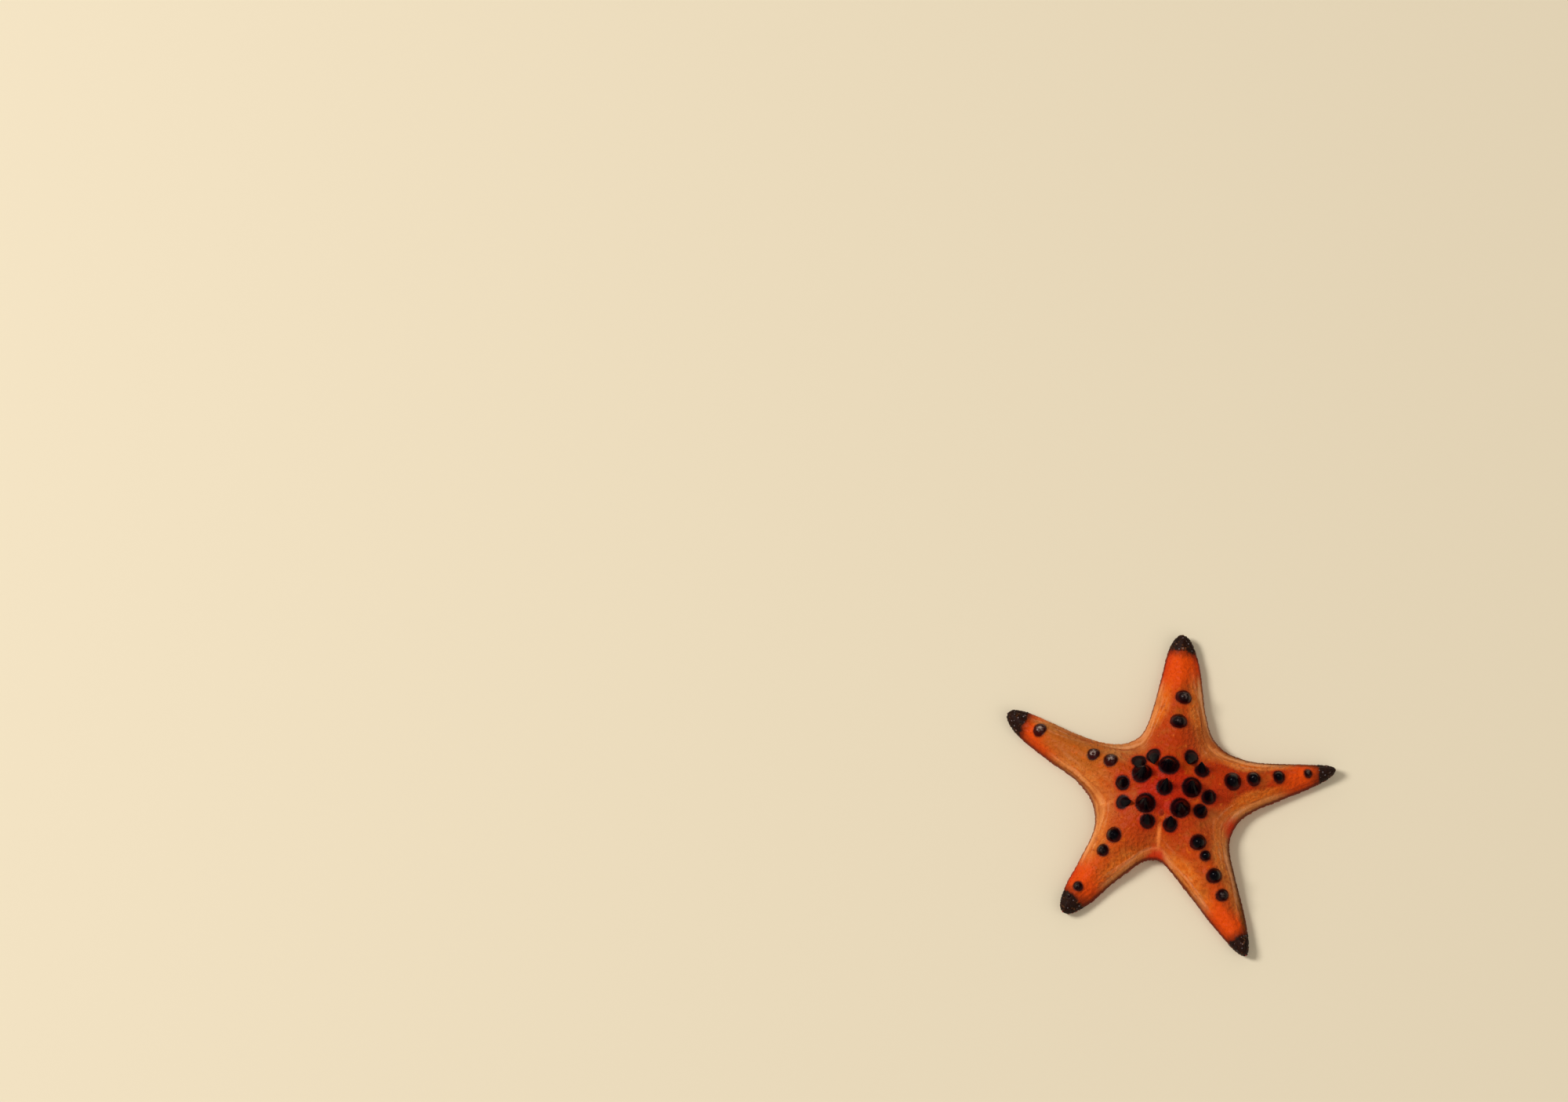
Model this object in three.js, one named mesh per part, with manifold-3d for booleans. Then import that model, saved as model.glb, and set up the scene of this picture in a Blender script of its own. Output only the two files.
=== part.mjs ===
// A horned sea star, life size and still, resting on the floor with its mouth down.
// Millimetres, +Z up. The origin is on the floor, under the middle of the animal's outline box.
// Each half of an arm is a fan of ribs. A rib starts on the arm's ridge line, runs out and down to the
// margin, turns in under it to the flat sole and ends in the roof of the feeding groove, under its start.
// Towards the disc the ribs swing round until the last one runs from the disc's middle to the notch between
// two arms, so the ten fans close into one skin. Horns are joined to it, and cuts part it into disc and arms.
import * as THREE from "three";
import { mergeVertices } from "three/addons/utils/BufferGeometryUtils.js";
import Module from "manifold-3d";

const wasm = await Module();
wasm.setup();

const DEGREE = Math.PI / 180;
const GAP = 0.3; // left between neighbouring pieces

// The five arms, anticlockwise. azimuth: where the arm leaves the disc, in degrees from +X.
// length: middle of the disc to the arm's end. bow: how far the end swings to the arm's left.
// flare: half width that the straight sides would reach in the middle of the disc. tip: the same at the end.
// web: middle of the disc to the notch on the arm's left. root: where the arm is parted from the disc.
// horns: [along the arm, to its left, radius] of those on the ridge.
// crown: the disc's main horn before this arm. shoulder: the two lesser horns above the notch on its left.
// Both as [distance, turn from the arm or notch, radius, height, lean to +X, lean to +Y], the leans as
// shares of the height.
const ARMS = [
  {
    name: "right",
    azimuth: 6,
    length: 122,
    bow: 5.5,
    flare: 27,
    tip: 6,
    web: 52.5,
    root: 56,
    horns: [[48, 0.5, 6], [63, 1, 4.5], [81, 0.5, 3.9], [102, 0, 2.6]],
    crown: [19, -6, 5.9, 13, 0.05, 0.1],
    shoulder: [[29, -18, 4.4, 9.5, -0.05, 0.55], [29.5, 8, 4.6, 9.5, -0.15, -0.7]],
  },
  {
    name: "far",
    azimuth: 80,
    length: 117,
    bow: 7,
    flare: 28,
    tip: 10,
    web: 45.5,
    root: 58.5,
    horns: [[50, -1.3, 5.6], [69, -2.5, 5.4]],
    crown: [16, -1, 5.9, 13, -0.05, 0.15],
    shoulder: [[25, -10, 4.6, 10, 0, -0.75], [26.5, 15, 4.6, 9.5, 0.05, -0.7]],
  },
  {
    name: "left",
    azimuth: 155.5,
    length: 126,
    bow: -8,
    flare: 19.5,
    tip: 9.5,
    web: 51,
    root: 50,
    horns: [[43, -3, 4.6], [56, -2.3, 4.1], [99, -1, 4.2]],
    crown: [19, -9, 5.9, 13, 0.1, 0.1],
    shoulder: [[29.5, -20, 4.4, 8, -0.1, 0.1], [30.5, 6, 4.4, 9, 0.55, -0.1]],
  },
  {
    name: "near_left",
    azimuth: 228,
    length: 111,
    bow: 3,
    flare: 26,
    tip: 9,
    web: 47.5,
    root: 55,
    horns: [[48, -4.5, 5.4], [61, -3.5, 4.2], [91, -1.5, 3.2], [100, -2.2, 1.8]],
    crown: [17.5, -8, 5.9, 13, -0.05, 0.05],
    shoulder: [[26.5, -20, 4.4, 9, 0.05, 0.3], [26.5, 16, 4.4, 9.5, 0, 0.4]],
  },
  {
    name: "near_right",
    azimuth: 297.5,
    length: 129,
    bow: -3,
    flare: 32,
    tip: 6.5,
    web: 55,
    root: 62,
    horns: [[45, 2.8, 5.6], [55.5, 3, 3.6], [70.5, 2.6, 5.3], [85, 2, 4.3]],
    crown: [18.5, 9, 5.9, 13, 0, 0.05],
    shoulder: [[29.5, -5, 4.4, 9, 0.45, 0.1], [31.5, 17, 4.4, 9, 0.25, 0.15]],
  },
];

const RIBS = 13; // along each half of an arm
const RIB_CROWDING = 1.6; // 1 spaces the ribs by a sine, more draws them in towards the notch
const RIB_STEPS = 6; // from the ridge down to the margin
const TUCK_STEPS = 2; // round the margin to the sole
const HORN_SIDES = 8;
const HORN_STEPS = 4;

const DISC_HEIGHT = 34; // skin of the disc's middle above the floor
const ARM_END_HEIGHT = 9;
const RIDGE_FALL = 1.25; // 1 is a straight slope from disc to tip
const MARGIN_HEIGHT = 8.5; // of the widest line, at the disc; half of that at an arm's end
const BREADTH_POWER = 1.55; // of a rib's curve: 1 is a tent, 2 an arch
const HEIGHT_POWER = 1.3;
const TIP_ROUNDNESS = 12; // the higher, the blunter an arm's end
const TIP_SET_BACK = 0.6; // share of the tip's half width between the ridge's end and the arm's end
const FAN_LENGTH = 23; // of arm, over which the ribs swing from the notch to square across the arm
const BEND_START = 50; // along an arm
const BEND_POWER = 1.6;
const TIP_LIFT = 4; // an arm's end above the floor
const LIFT_START = 0.72; // share of the arm's length

const TUCK = 4; // how far the sole's edge lies inside the margin
const SOLE_BAND = 6; // breadth of the flat that touches the floor
const SOLE_HOLLOW = 1.2; // the sole's rise at the groove's edge
const GROOVE_HALF_WIDTH = 3.8;
const GROOVE_SHARE = 0.3; // of the arm's half width, where the arm is narrow
const WALL_SHARE = 0.75; // the groove's walls turn into its roof at this share of its width and depth
const GROOVE_DEPTH = 5.5;
const MOUTH_DEPTH = 3; // more, in the middle of the disc
const MOUTH_SPREAD = 12;

const MIDDLE_HORN = [0.5, -90, 4.5, 12, 0.1, 0.3]; // as a crown horn
const DISC_HORN_CONE = 0.9; // 0 is a dome, 1 a cone
const ARM_HORN_CONE = 0.45;
const CONE_BLUNTNESS = 0.18; // share of the dome left in a cone
const ARM_HORN_RISE = 1.25; // height over radius, past the first millimetre
const HORN_ROOT = 3; // length sunk in the skin
const HORN_SQUARE = 0.75; // 1 stands square on the skin, 0 upright

const MADREPORITE = { radius: 2.6, height: 1.1, sink: 1.6, from: 17.5, azimuth: 263 };
const MOUTH = { radius: 4.6, height: 2.6, dimple: 1.2 };
const EYESPOT = { radius: 1, sides: 6, rings: 4 };
const FEET_START = 10; // from the middle of the disc
const FEET_END = 7; // short of the arm's end
const FEET_CLEARANCE = 0.7; // to the groove's walls
const FEET_STEPS = 12;

const SKIN_COLOUR = 0xc9541f;
const FAR_SKIN_COLOUR = 0xcf4a14;
const MOUTH_COLOUR = 0xd9a066;
const FEET_COLOUR = 0xb391a6;
const EYESPOT_COLOUR = 0xa01c10;
const MADREPORITE_COLOUR = 0xb8481c;

/** The argument between low and high at which a rising function reaches the target. */
function whereEquals(rising, target, low, high) {
  for (let i = 0; i < 40; i++) {
    const middle = (low + high) / 2;
    if (rising(middle) < target) low = middle;
    else high = middle;
  }
  return (low + high) / 2;
}

/** Half width of an arm's straight, round-ended form at a distance along it. */
function taperOf(arm, along) {
  const straight = arm.flare + (arm.tip - arm.flare) * (along / arm.length);
  return straight * Math.sqrt(1 - (along / arm.length) ** TIP_ROUNDNESS);
}

/**
 * One side of an arm. Its half width is a straight taper with a round end, widened near the disc by a web
 * that fades out along the arm and meets the notch square. ridgeOf gives where the rib of a margin point
 * starts: in the middle of the disc for the notch, and square across the arm further out.
 */
function sideOf(arm, halfGap, web) {
  const notch = web * Math.cos(halfGap);
  const slope = (arm.tip - arm.flare) / arm.length;
  const webbing = web * Math.sin(halfGap) - taperOf(arm, notch);
  const fade = webbing / (1 / Math.tan(halfGap) + slope);
  const width = (x) => taperOf(arm, x) + webbing * Math.exp((notch - x) / fade);
  const ridgeOf = (x) => {
    const swing = 1 - Math.exp(-(((x - notch) / FAN_LENGTH) ** 2));
    return swing * (x - TIP_SET_BACK * arm.tip * (x / arm.length) ** TIP_ROUNDNESS);
  };
  return { notch, width, ridgeOf };
}

/** A point given along an arm, to its left and up, in the animal's frame, with the arm's bend and lift. */
function onArm(arm, along, aside, up) {
  const beyond = Math.max(0, (along - BEND_START) / (arm.length - BEND_START));
  const left = aside + arm.bow * beyond ** BEND_POWER;
  const raised = Math.max(0, (along / arm.length - LIFT_START) / (1 - LIFT_START));
  const turn = arm.azimuth * DEGREE;
  return [
    along * Math.cos(turn) - left * Math.sin(turn),
    along * Math.sin(turn) + left * Math.cos(turn),
    up + TIP_LIFT * raised ** 2,
  ];
}

/** Height of the groove's roof at a distance along the arm. */
function roofHeight(arm, along) {
  const closing = 1 - 0.5 * (along / arm.length);
  return GROOVE_DEPTH * closing + MOUTH_DEPTH * Math.exp(-((along / MOUTH_SPREAD) ** 2));
}

/** Half width of the feeding groove where the arm has a half width. */
function grooveHalfWidth(armHalfWidth) {
  return Math.min(GROOVE_HALF_WIDTH, GROOVE_SHARE * armHalfWidth);
}

/** The section along one rib: [share of the way out to the margin, height], from the ridge to the roof. */
function ribSection(arm, ridge, reach, halfWidth) {
  const share = ridge / arm.length;
  const crest = ARM_END_HEIGHT + (DISC_HEIGHT - ARM_END_HEIGHT) * (1 - share ** RIDGE_FALL);
  const margin = MARGIN_HEIGHT * (1 - share / 2);
  const section = [];
  for (let i = 0; i <= RIB_STEPS; i++) {
    const angle = (Math.PI / 2) * (i / RIB_STEPS);
    const out = Math.sin(angle) ** (2 / BREADTH_POWER);
    const rise = Math.cos(angle) ** (2 / HEIGHT_POWER);
    section.push([out, margin + (crest - margin) * rise]);
  }
  const tuck = Math.min(TUCK / reach, 0.22);
  for (let i = 1; i <= TUCK_STEPS; i++) {
    const angle = (Math.PI / 2) * (i / TUCK_STEPS);
    section.push([1 - tuck * (1 - Math.cos(angle)), margin * (1 - Math.sin(angle))]);
  }
  const groove = grooveHalfWidth(halfWidth) / Math.max(halfWidth, 1);
  const band = Math.min(SOLE_BAND / reach, (1 - tuck - groove) / 2);
  const roof = roofHeight(arm, ridge);
  section.push([1 - tuck - band, 0]);
  section.push([groove, SOLE_HOLLOW]);
  section.push([groove * WALL_SHARE, WALL_SHARE * roof]);
  section.push([0, roof]);
  return section;
}

/** The ribs of one side of an arm as rows of points, from the notch to the arm's end. */
function fanOf(arm, side, sign) {
  const ridgeEnd = arm.length - TIP_SET_BACK * arm.tip;
  const ribs = [];
  for (let i = 0; i <= RIBS; i++) {
    const ridge = ridgeEnd * Math.sin((Math.PI / 2) * (i / RIBS)) ** RIB_CROWDING;
    const along = i === RIBS ? arm.length : whereEquals(side.ridgeOf, ridge, side.notch, arm.length);
    const halfWidth = i === RIBS ? 0 : side.width(along);
    const reach = Math.hypot(along - ridge, halfWidth);
    ribs.push(
      ribSection(arm, ridge, reach, halfWidth).map(([out, up]) =>
        onArm(arm, ridge + out * (along - ridge), sign * out * halfWidth, up),
      ),
    );
  }
  return ribs;
}

/** A closed skin from rows of points, each row joined to the next and the last to the first. */
function skinOf(rows) {
  const columns = rows[0].length;
  const index = [];
  rows.forEach((_, r) => {
    const next = (r + 1) % rows.length;
    for (let c = 0; c + 1 < columns; c++) {
      const [a, b] = [r * columns + c, r * columns + c + 1];
      const [d, e] = [next * columns + c, next * columns + c + 1];
      index.push(a, b, d, b, e, d);
    }
  });
  const geometry = new THREE.BufferGeometry();
  geometry.setAttribute("position", new THREE.Float32BufferAttribute(rows.flat(2), 3));
  geometry.setIndex(index);
  return geometry;
}

/** A closed geometry as a solid that can be joined and cut. */
function solid(geometry) {
  const bare = geometry.clone();
  bare.deleteAttribute("normal");
  bare.deleteAttribute("uv");
  const merged = mergeVertices(bare, 1e-3);
  const corners = merged.index.array;
  const kept = [];
  for (let i = 0; i < corners.length; i += 3) {
    const [a, b, c] = corners.slice(i, i + 3);
    if (a !== b && b !== c && c !== a) kept.push(a, b, c);
  }
  const triVerts = new Uint32Array(kept);
  return new wasm.Manifold(
    new wasm.Mesh({ numProp: 3, vertProperties: merged.attributes.position.array, triVerts }),
  );
}

/** A solid as a named mesh with its own material. */
function meshOf(name, made, colour, roughness = 0.75) {
  const { vertProperties, numProp, numVert, triVerts } = made.getMesh();
  const position = new Float32Array(numVert * 3);
  for (let i = 0; i < numVert; i++) position.set(vertProperties.subarray(i * numProp, i * numProp + 3), i * 3);
  const geometry = new THREE.BufferGeometry();
  geometry.setAttribute("position", new THREE.BufferAttribute(position, 3));
  geometry.setIndex(new THREE.BufferAttribute(triVerts, 1));
  geometry.computeVertexNormals();
  const material = new THREE.MeshStandardMaterial({ color: colour, roughness, metalness: 0 });
  const mesh = new THREE.Mesh(geometry, material);
  mesh.name = name;
  return mesh;
}

/** The whole skin: ten fans round the animal, anticlockwise. */
function starSkin() {
  const rows = [];
  ARMS.forEach((arm, i) => {
    const before = ARMS[(i + ARMS.length - 1) % ARMS.length];
    const after = ARMS[(i + 1) % ARMS.length];
    const halfGap = (from, to) => (((to.azimuth - from.azimuth + 360) % 360) / 2) * DEGREE;
    const rightFan = fanOf(arm, sideOf(arm, halfGap(before, arm), before.web), -1);
    const leftFan = fanOf(arm, sideOf(arm, halfGap(arm, after), arm.web), 1);
    rows.push(...rightFan, ...leftFan.reverse().slice(1, -1));
  });
  return skinOf(rows);
}

/**
 * A horn on the Z axis, closed, its root below zero. Its outline is a dome's where cone is 0 and nearly
 * straight where it is 1.
 */
function hornShape(radius, height, cone) {
  const profile = [new THREE.Vector2(0, -HORN_ROOT), new THREE.Vector2(radius, -HORN_ROOT)];
  for (let i = 0; i <= HORN_STEPS; i++) {
    const angle = (Math.PI / 2) * (i / HORN_STEPS);
    const [dome, rise] = [i === HORN_STEPS ? 0 : Math.cos(angle), Math.sin(angle)];
    const straight = (1 - CONE_BLUNTNESS) * (1 - rise) + CONE_BLUNTNESS * dome;
    profile.push(new THREE.Vector2(radius * (dome + cone * (straight - dome)), height * rise));
  }
  return new THREE.LatheGeometry(profile, HORN_SIDES).rotateX(Math.PI / 2);
}

/** Where a plumb line over x, y meets the skin, and which way the skin faces there. */
function surfaceAt(skinMesh, x, y) {
  const ray = new THREE.Raycaster(new THREE.Vector3(x, y, 2 * DISC_HEIGHT), new THREE.Vector3(0, 0, -1));
  const [hit] = ray.intersectObject(skinMesh);
  return { point: hit.point, facing: hit.face.normal };
}

/**
 * A shape that stands on the Z axis, set on the skin over x, y, upright where square is 0 and square on the
 * skin where it is 1. With a lean, its slices slide sideways until its top is that far over for its height.
 */
function standOn(skinMesh, shape, x, y, square, lean) {
  const { point, facing } = surfaceAt(skinMesh, x, y);
  const up = new THREE.Vector3(0, 0, 1);
  const axis = up.clone().lerp(facing, square).normalize();
  const turn = new THREE.Quaternion().setFromUnitVectors(up, axis);
  const across = new THREE.Vector3(1, 0, 0).applyQuaternion(turn);
  const beside = new THREE.Vector3(0, 1, 0).applyQuaternion(turn);
  const rising = lean ? new THREE.Vector3(lean[0], lean[1], axis.z) : axis;
  const pose = new THREE.Matrix4().makeBasis(across, beside, rising).setPosition(point);
  return solid(shape.clone().applyMatrix4(pose));
}

/** Where a place given as [distance, turn] from an azimuth lies. */
function onDisc([distance, turn], azimuth) {
  const angle = (azimuth + turn) * DEGREE;
  return [distance * Math.cos(angle), distance * Math.sin(angle)];
}

/** One of the disc's horns, given as in the table of arms. */
function discHorn(skinMesh, spot, azimuth) {
  const [, , radius, height, ...lean] = spot;
  const shape = hornShape(radius, height, DISC_HORN_CONE);
  return standOn(skinMesh, shape, ...onDisc(spot, azimuth), HORN_SQUARE, lean);
}

/** Every horn of the animal as a solid. */
function hornsOf(skinMesh) {
  const horns = [discHorn(skinMesh, MIDDLE_HORN, 0)];
  ARMS.forEach((arm, i) => {
    const after = ARMS[(i + 1) % ARMS.length];
    const notchAzimuth = arm.azimuth + ((after.azimuth - arm.azimuth + 360) % 360) / 2;
    horns.push(discHorn(skinMesh, arm.crown, arm.azimuth));
    horns.push(...arm.shoulder.map((spot) => discHorn(skinMesh, spot, notchAzimuth)));
    arm.horns.forEach(([along, aside, radius]) => {
      const [x, y] = onArm(arm, along, aside, 0);
      const shape = hornShape(radius, 1 + ARM_HORN_RISE * radius, ARM_HORN_CONE);
      horns.push(standOn(skinMesh, shape, x, y, HORN_SQUARE));
    });
  });
  return horns;
}

/** A block that holds the arm beyond a distance from the middle of the disc. */
function beyondRoot(arm, from) {
  const length = 2 * arm.length;
  const block = new THREE.BoxGeometry(length, 90, 120);
  block.translate(from + length / 2, 0, 0);
  return solid(block.rotateZ(arm.azimuth * DEGREE));
}

/** The band of tube feet that fills an arm's feeding groove, clear of its walls. */
function feetBand(arm) {
  const rows = [];
  const end = arm.length - FEET_END;
  for (let i = 0; i <= FEET_STEPS; i++) {
    const along = FEET_START + (end - FEET_START) * (i / FEET_STEPS);
    const half = grooveHalfWidth(taperOf(arm, along)) - FEET_CLEARANCE;
    const top = WALL_SHARE * roofHeight(arm, along) - GAP;
    rows.push(
      [[half, 1.3], [0.6 * half, top], [-0.6 * half, top], [-half, 1.3], [-0.7 * half, 0.8], [0.7 * half, 0.8]]
        .map(([aside, up]) => onArm(arm, along, aside, up)),
    );
  }
  const sides = rows[0].length;
  const index = [];
  for (let r = 0; r < FEET_STEPS; r++) {
    for (let c = 0; c < sides; c++) {
      const [a, b] = [r * sides + c, r * sides + ((c + 1) % sides)];
      index.push(a, b, a + sides, b, b + sides, a + sides);
    }
  }
  const last = FEET_STEPS * sides;
  for (let c = 1; c + 1 < sides; c++) index.push(0, c + 1, c, last, last + c, last + c + 1);
  const geometry = new THREE.BufferGeometry();
  geometry.setAttribute("position", new THREE.Float32BufferAttribute(rows.flat(2), 3));
  geometry.setIndex(index);
  return solid(geometry);
}

/** A shallow button turned about the Z axis, larger all round by grow. */
function buttonShape(radius, height, sink, grow = 0) {
  const profile = [
    new THREE.Vector2(0, -sink - grow),
    new THREE.Vector2(radius + grow, -sink - grow),
    new THREE.Vector2(radius + grow, 0.3 * height),
    new THREE.Vector2(0.6 * radius + grow, height + grow),
    new THREE.Vector2(0, height + grow),
  ];
  return new THREE.LatheGeometry(profile, 14).rotateX(Math.PI / 2);
}

/** The mouth's soft membrane: a round cushion with a dimple in its underside. */
function mouthShape() {
  const { radius, height, dimple } = MOUTH;
  const profile = [
    new THREE.Vector2(0, dimple),
    new THREE.Vector2(0.35 * radius, 0),
    new THREE.Vector2(0.8 * radius, 0),
    new THREE.Vector2(radius, 0.4 * height),
    new THREE.Vector2(0.8 * radius, height),
    new THREE.Vector2(0, height),
  ];
  const top = WALL_SHARE * (GROOVE_DEPTH + MOUTH_DEPTH) - GAP;
  return new THREE.LatheGeometry(profile, 20).rotateX(Math.PI / 2).translate(0, 0, top - height);
}

const skinGeometry = starSkin();
const skinMesh = new THREE.Mesh(skinGeometry);
const animal = new THREE.Group();

const whole = hornsOf(skinMesh).reduce((body, horn) => body.add(horn), solid(skinGeometry));
let disc = whole;
ARMS.forEach((arm) => {
  const limb = whole.intersect(beyondRoot(arm, arm.root + GAP / 2));
  disc = disc.subtract(beyondRoot(arm, arm.root - GAP / 2));
  const [x, y, z] = onArm(arm, arm.length, 0, MARGIN_HEIGHT / 2);
  const eye = (radius) => new THREE.SphereGeometry(radius, EYESPOT.sides, EYESPOT.rings).translate(x, y, z);
  animal.add(meshOf(`arm_${arm.name}`, limb.subtract(solid(eye(EYESPOT.radius + GAP))), FAR_SKIN_COLOUR));
  animal.add(meshOf(`eyespot_${arm.name}`, solid(eye(EYESPOT.radius)), EYESPOT_COLOUR, 0.4));
  animal.add(meshOf(`tube_feet_${arm.name}`, feetBand(arm), FEET_COLOUR, 0.5));
});

const button = MADREPORITE;
const buttonPlace = onDisc([button.from, 0], button.azimuth);
const madreporite = (grow) =>
  standOn(skinMesh, buttonShape(button.radius, button.height, button.sink, grow), ...buttonPlace, 1);
disc = disc.subtract(madreporite(GAP));
animal.add(meshOf("disc", disc, SKIN_COLOUR));
animal.add(meshOf("madreporite", madreporite(0), MADREPORITE_COLOUR));
animal.add(meshOf("mouth", solid(mouthShape()), MOUTH_COLOUR, 0.5));

const box = new THREE.Box3().setFromObject(animal);
const middle = box.getCenter(new THREE.Vector3());
animal.position.set(-middle.x, -middle.y, -box.min.z);

export default animal;
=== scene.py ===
"""A horned sea star, life size and still, lying mouth down on a pale studio floor.

Shapes are worked out in millimetres in the animal's own frame: +Z runs up from the floor through the
middle of the disc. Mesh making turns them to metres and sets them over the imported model's mouth.
"""

import itertools
import logging
import math
from dataclasses import dataclass, field
from enum import Enum
from typing import Any

import bpy
import numpy as np
from mathutils import Matrix, Vector


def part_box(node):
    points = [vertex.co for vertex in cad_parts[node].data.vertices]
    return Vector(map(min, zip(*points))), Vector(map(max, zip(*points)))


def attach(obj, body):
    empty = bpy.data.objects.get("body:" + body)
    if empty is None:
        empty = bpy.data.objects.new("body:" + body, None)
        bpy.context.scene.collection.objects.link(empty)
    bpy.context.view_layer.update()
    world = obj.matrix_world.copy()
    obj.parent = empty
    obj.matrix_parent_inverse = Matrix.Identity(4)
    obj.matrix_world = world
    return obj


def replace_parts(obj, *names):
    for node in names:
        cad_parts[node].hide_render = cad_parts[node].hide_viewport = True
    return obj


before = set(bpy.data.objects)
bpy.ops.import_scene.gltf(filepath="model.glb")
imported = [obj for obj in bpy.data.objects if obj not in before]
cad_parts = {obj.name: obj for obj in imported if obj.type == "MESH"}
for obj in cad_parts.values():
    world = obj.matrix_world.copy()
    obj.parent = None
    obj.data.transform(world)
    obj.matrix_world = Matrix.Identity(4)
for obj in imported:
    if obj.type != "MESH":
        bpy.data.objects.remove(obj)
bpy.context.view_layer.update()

MM = 0.001
FULL_TURN = 2 * math.pi
FAR = 99.0  # past all distances that count
STRAY = (0.7, 0.7, 0.7)  # usual breadth of the part of its cell that a noise's site lies in
RIDGE_TABLE, MARGIN_TABLE, SECTION_TABLE = 5000, 6000, 161  # sizes of fine tables that curves are read off
MAP_GAP = 0.04  # about a copy's tile on its map, as a share of the tile
HALF_SHEET = 0.245  # of the skin's map, from the middle of its upper or lower sheet to the sheet's edge
Floats = np.ndarray
Ints = np.ndarray
log = logging.getLogger("sea_star")


class Slot(Enum):
    """Names of the material slots."""

    SKIN = "skin"
    HORN = "horn"
    TUBE_FEET = "tube_feet"
    MOUTH = "mouth"
    EYESPOT = "eyespot"
    MADREPORITE = "madreporite"


# -------- numbers and noise


def smooth_step(low: float, high: float, value: Floats) -> Floats:
    """An S curve of value, from 0 at low to 1 at high. It falls where low is above high."""
    share = np.clip((value - low) / (high - low), 0, 1)
    return share * share * (3 - 2 * share)


def bell(value: Floats, spread: float) -> Floats:
    """A bell curve: 1 at 0, falling to 0.37 at spread on either side."""
    return np.exp(-((value / spread) ** 2))


def stacked(*columns: Any) -> Floats:
    """Columns side by side, with plain numbers as columns of that number."""
    return np.stack(np.broadcast_arrays(*columns), axis=-1)


def polar(points: Floats) -> tuple[Floats, Floats]:
    """Distances of points from the Z axis, and their turns about it in radians."""
    return np.hypot(points[:, 0], points[:, 1]), np.arctan2(points[:, 1], points[:, 0])


def running_length(across: Floats, up: Floats) -> Floats:
    """Length gone at each point of lines, one to a row, from the two parts of their steps."""
    gone = np.hypot(across, up).cumsum(axis=-1)
    return np.concatenate([0 * gone[..., :1], gone], axis=-1)


@dataclass(frozen=True)
class SpaceNoise:
    """Repeatable noise in space, made from a table of seeded random numbers on a lattice."""

    seed: int
    table_size: int = 8191
    primes: tuple[int, int, int] = (73856093, 19349663, 83492791)  # they part neighbouring cells' rows
    shift: int = 11  # bits that the high ones come down by
    code_base: int = 2048  # cells along an axis that owners' numbers have room for

    def cell_values(self, cells: Ints) -> Floats:
        """Random numbers of lattice cells, read off the table at rows that the cells' numbers mix to.

        Args:
            cells: whole numbers, (n, 3).

        Returns:
            Three numbers from 0 to 1 for each cell, (n, 3).
        """
        mixed = cells @ np.array(self.primes)
        table = np.random.default_rng(self.seed).random((self.table_size, 3))
        return table[(mixed ^ (mixed >> self.shift)) % self.table_size]

    def lumps(self, points: Floats, size: float) -> Floats:
        """Smooth lumps: lattice values blended with an S curve along each axis.

        Args:
            points: places in space, (n, 3).
            size: distance between lattice points.

        Returns:
            Numbers from -1 to 1, (n,).
        """
        scaled = points / size
        low = np.floor(scaled).astype(np.int64)
        blend = smooth_step(0, 1, scaled - low)
        total = np.zeros(len(points))
        for corner in itertools.product((0, 1), repeat=3):
            weight = np.prod(np.where(corner, blend, 1 - blend), axis=1)
            total += weight * self.cell_values(low + corner)[:, 0]
        return 2 * total - 1

    def cells(self, points: Floats, size: float, stray: Any = STRAY) -> tuple[Floats, Floats, Ints]:
        """Distances to the nearest and second nearest of sites scattered one to a lattice cell.

        Args:
            points: places in space, (n, 3).
            size: mean distance between sites.
            stray: breadth of the part of its cell that a site lies in, along each axis.

        Returns:
            The two distances in units of size, and the nearest site's lattice cell as one whole number.
        """
        scaled = points / size
        home = np.floor(scaled).astype(np.int64)
        nearest = np.full(len(points), FAR)
        second = nearest.copy()
        owner = np.zeros(len(points), np.int64)
        code = self.code_base ** np.arange(3)
        for step in itertools.product((-1, 0, 1), repeat=3):
            cell = home + step
            site = cell + 0.5 + (self.cell_values(cell) - 0.5) * stray
            away = np.linalg.norm(site - scaled, axis=1)
            second = np.minimum(second, np.maximum(nearest, away))
            owner = np.where(away < nearest, (cell + self.code_base // 2) @ code, owner)
            nearest = np.minimum(nearest, away)
        return nearest, second, owner

    def one_to_a_site(self, points: Floats, size: float, reach: float = FAR, stray: Any = STRAY) -> Ints:
        """Which points lie nearest to each of the scattered sites, and within reach of it.

        Args:
            points: places in space, (n, 3).
            size: mean distance between sites.
            reach: the largest distance, in units of size.
            stray: as for cells.

        Returns:
            The points' numbers, one to a site.
        """
        nearest, _, owner = self.cells(points, size, stray)
        order = np.lexsort((nearest, owner))
        chosen = order[np.unique(owner[order], return_index=True)[1]]
        return chosen[nearest[chosen] < reach]


# -------- meshes


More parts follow.
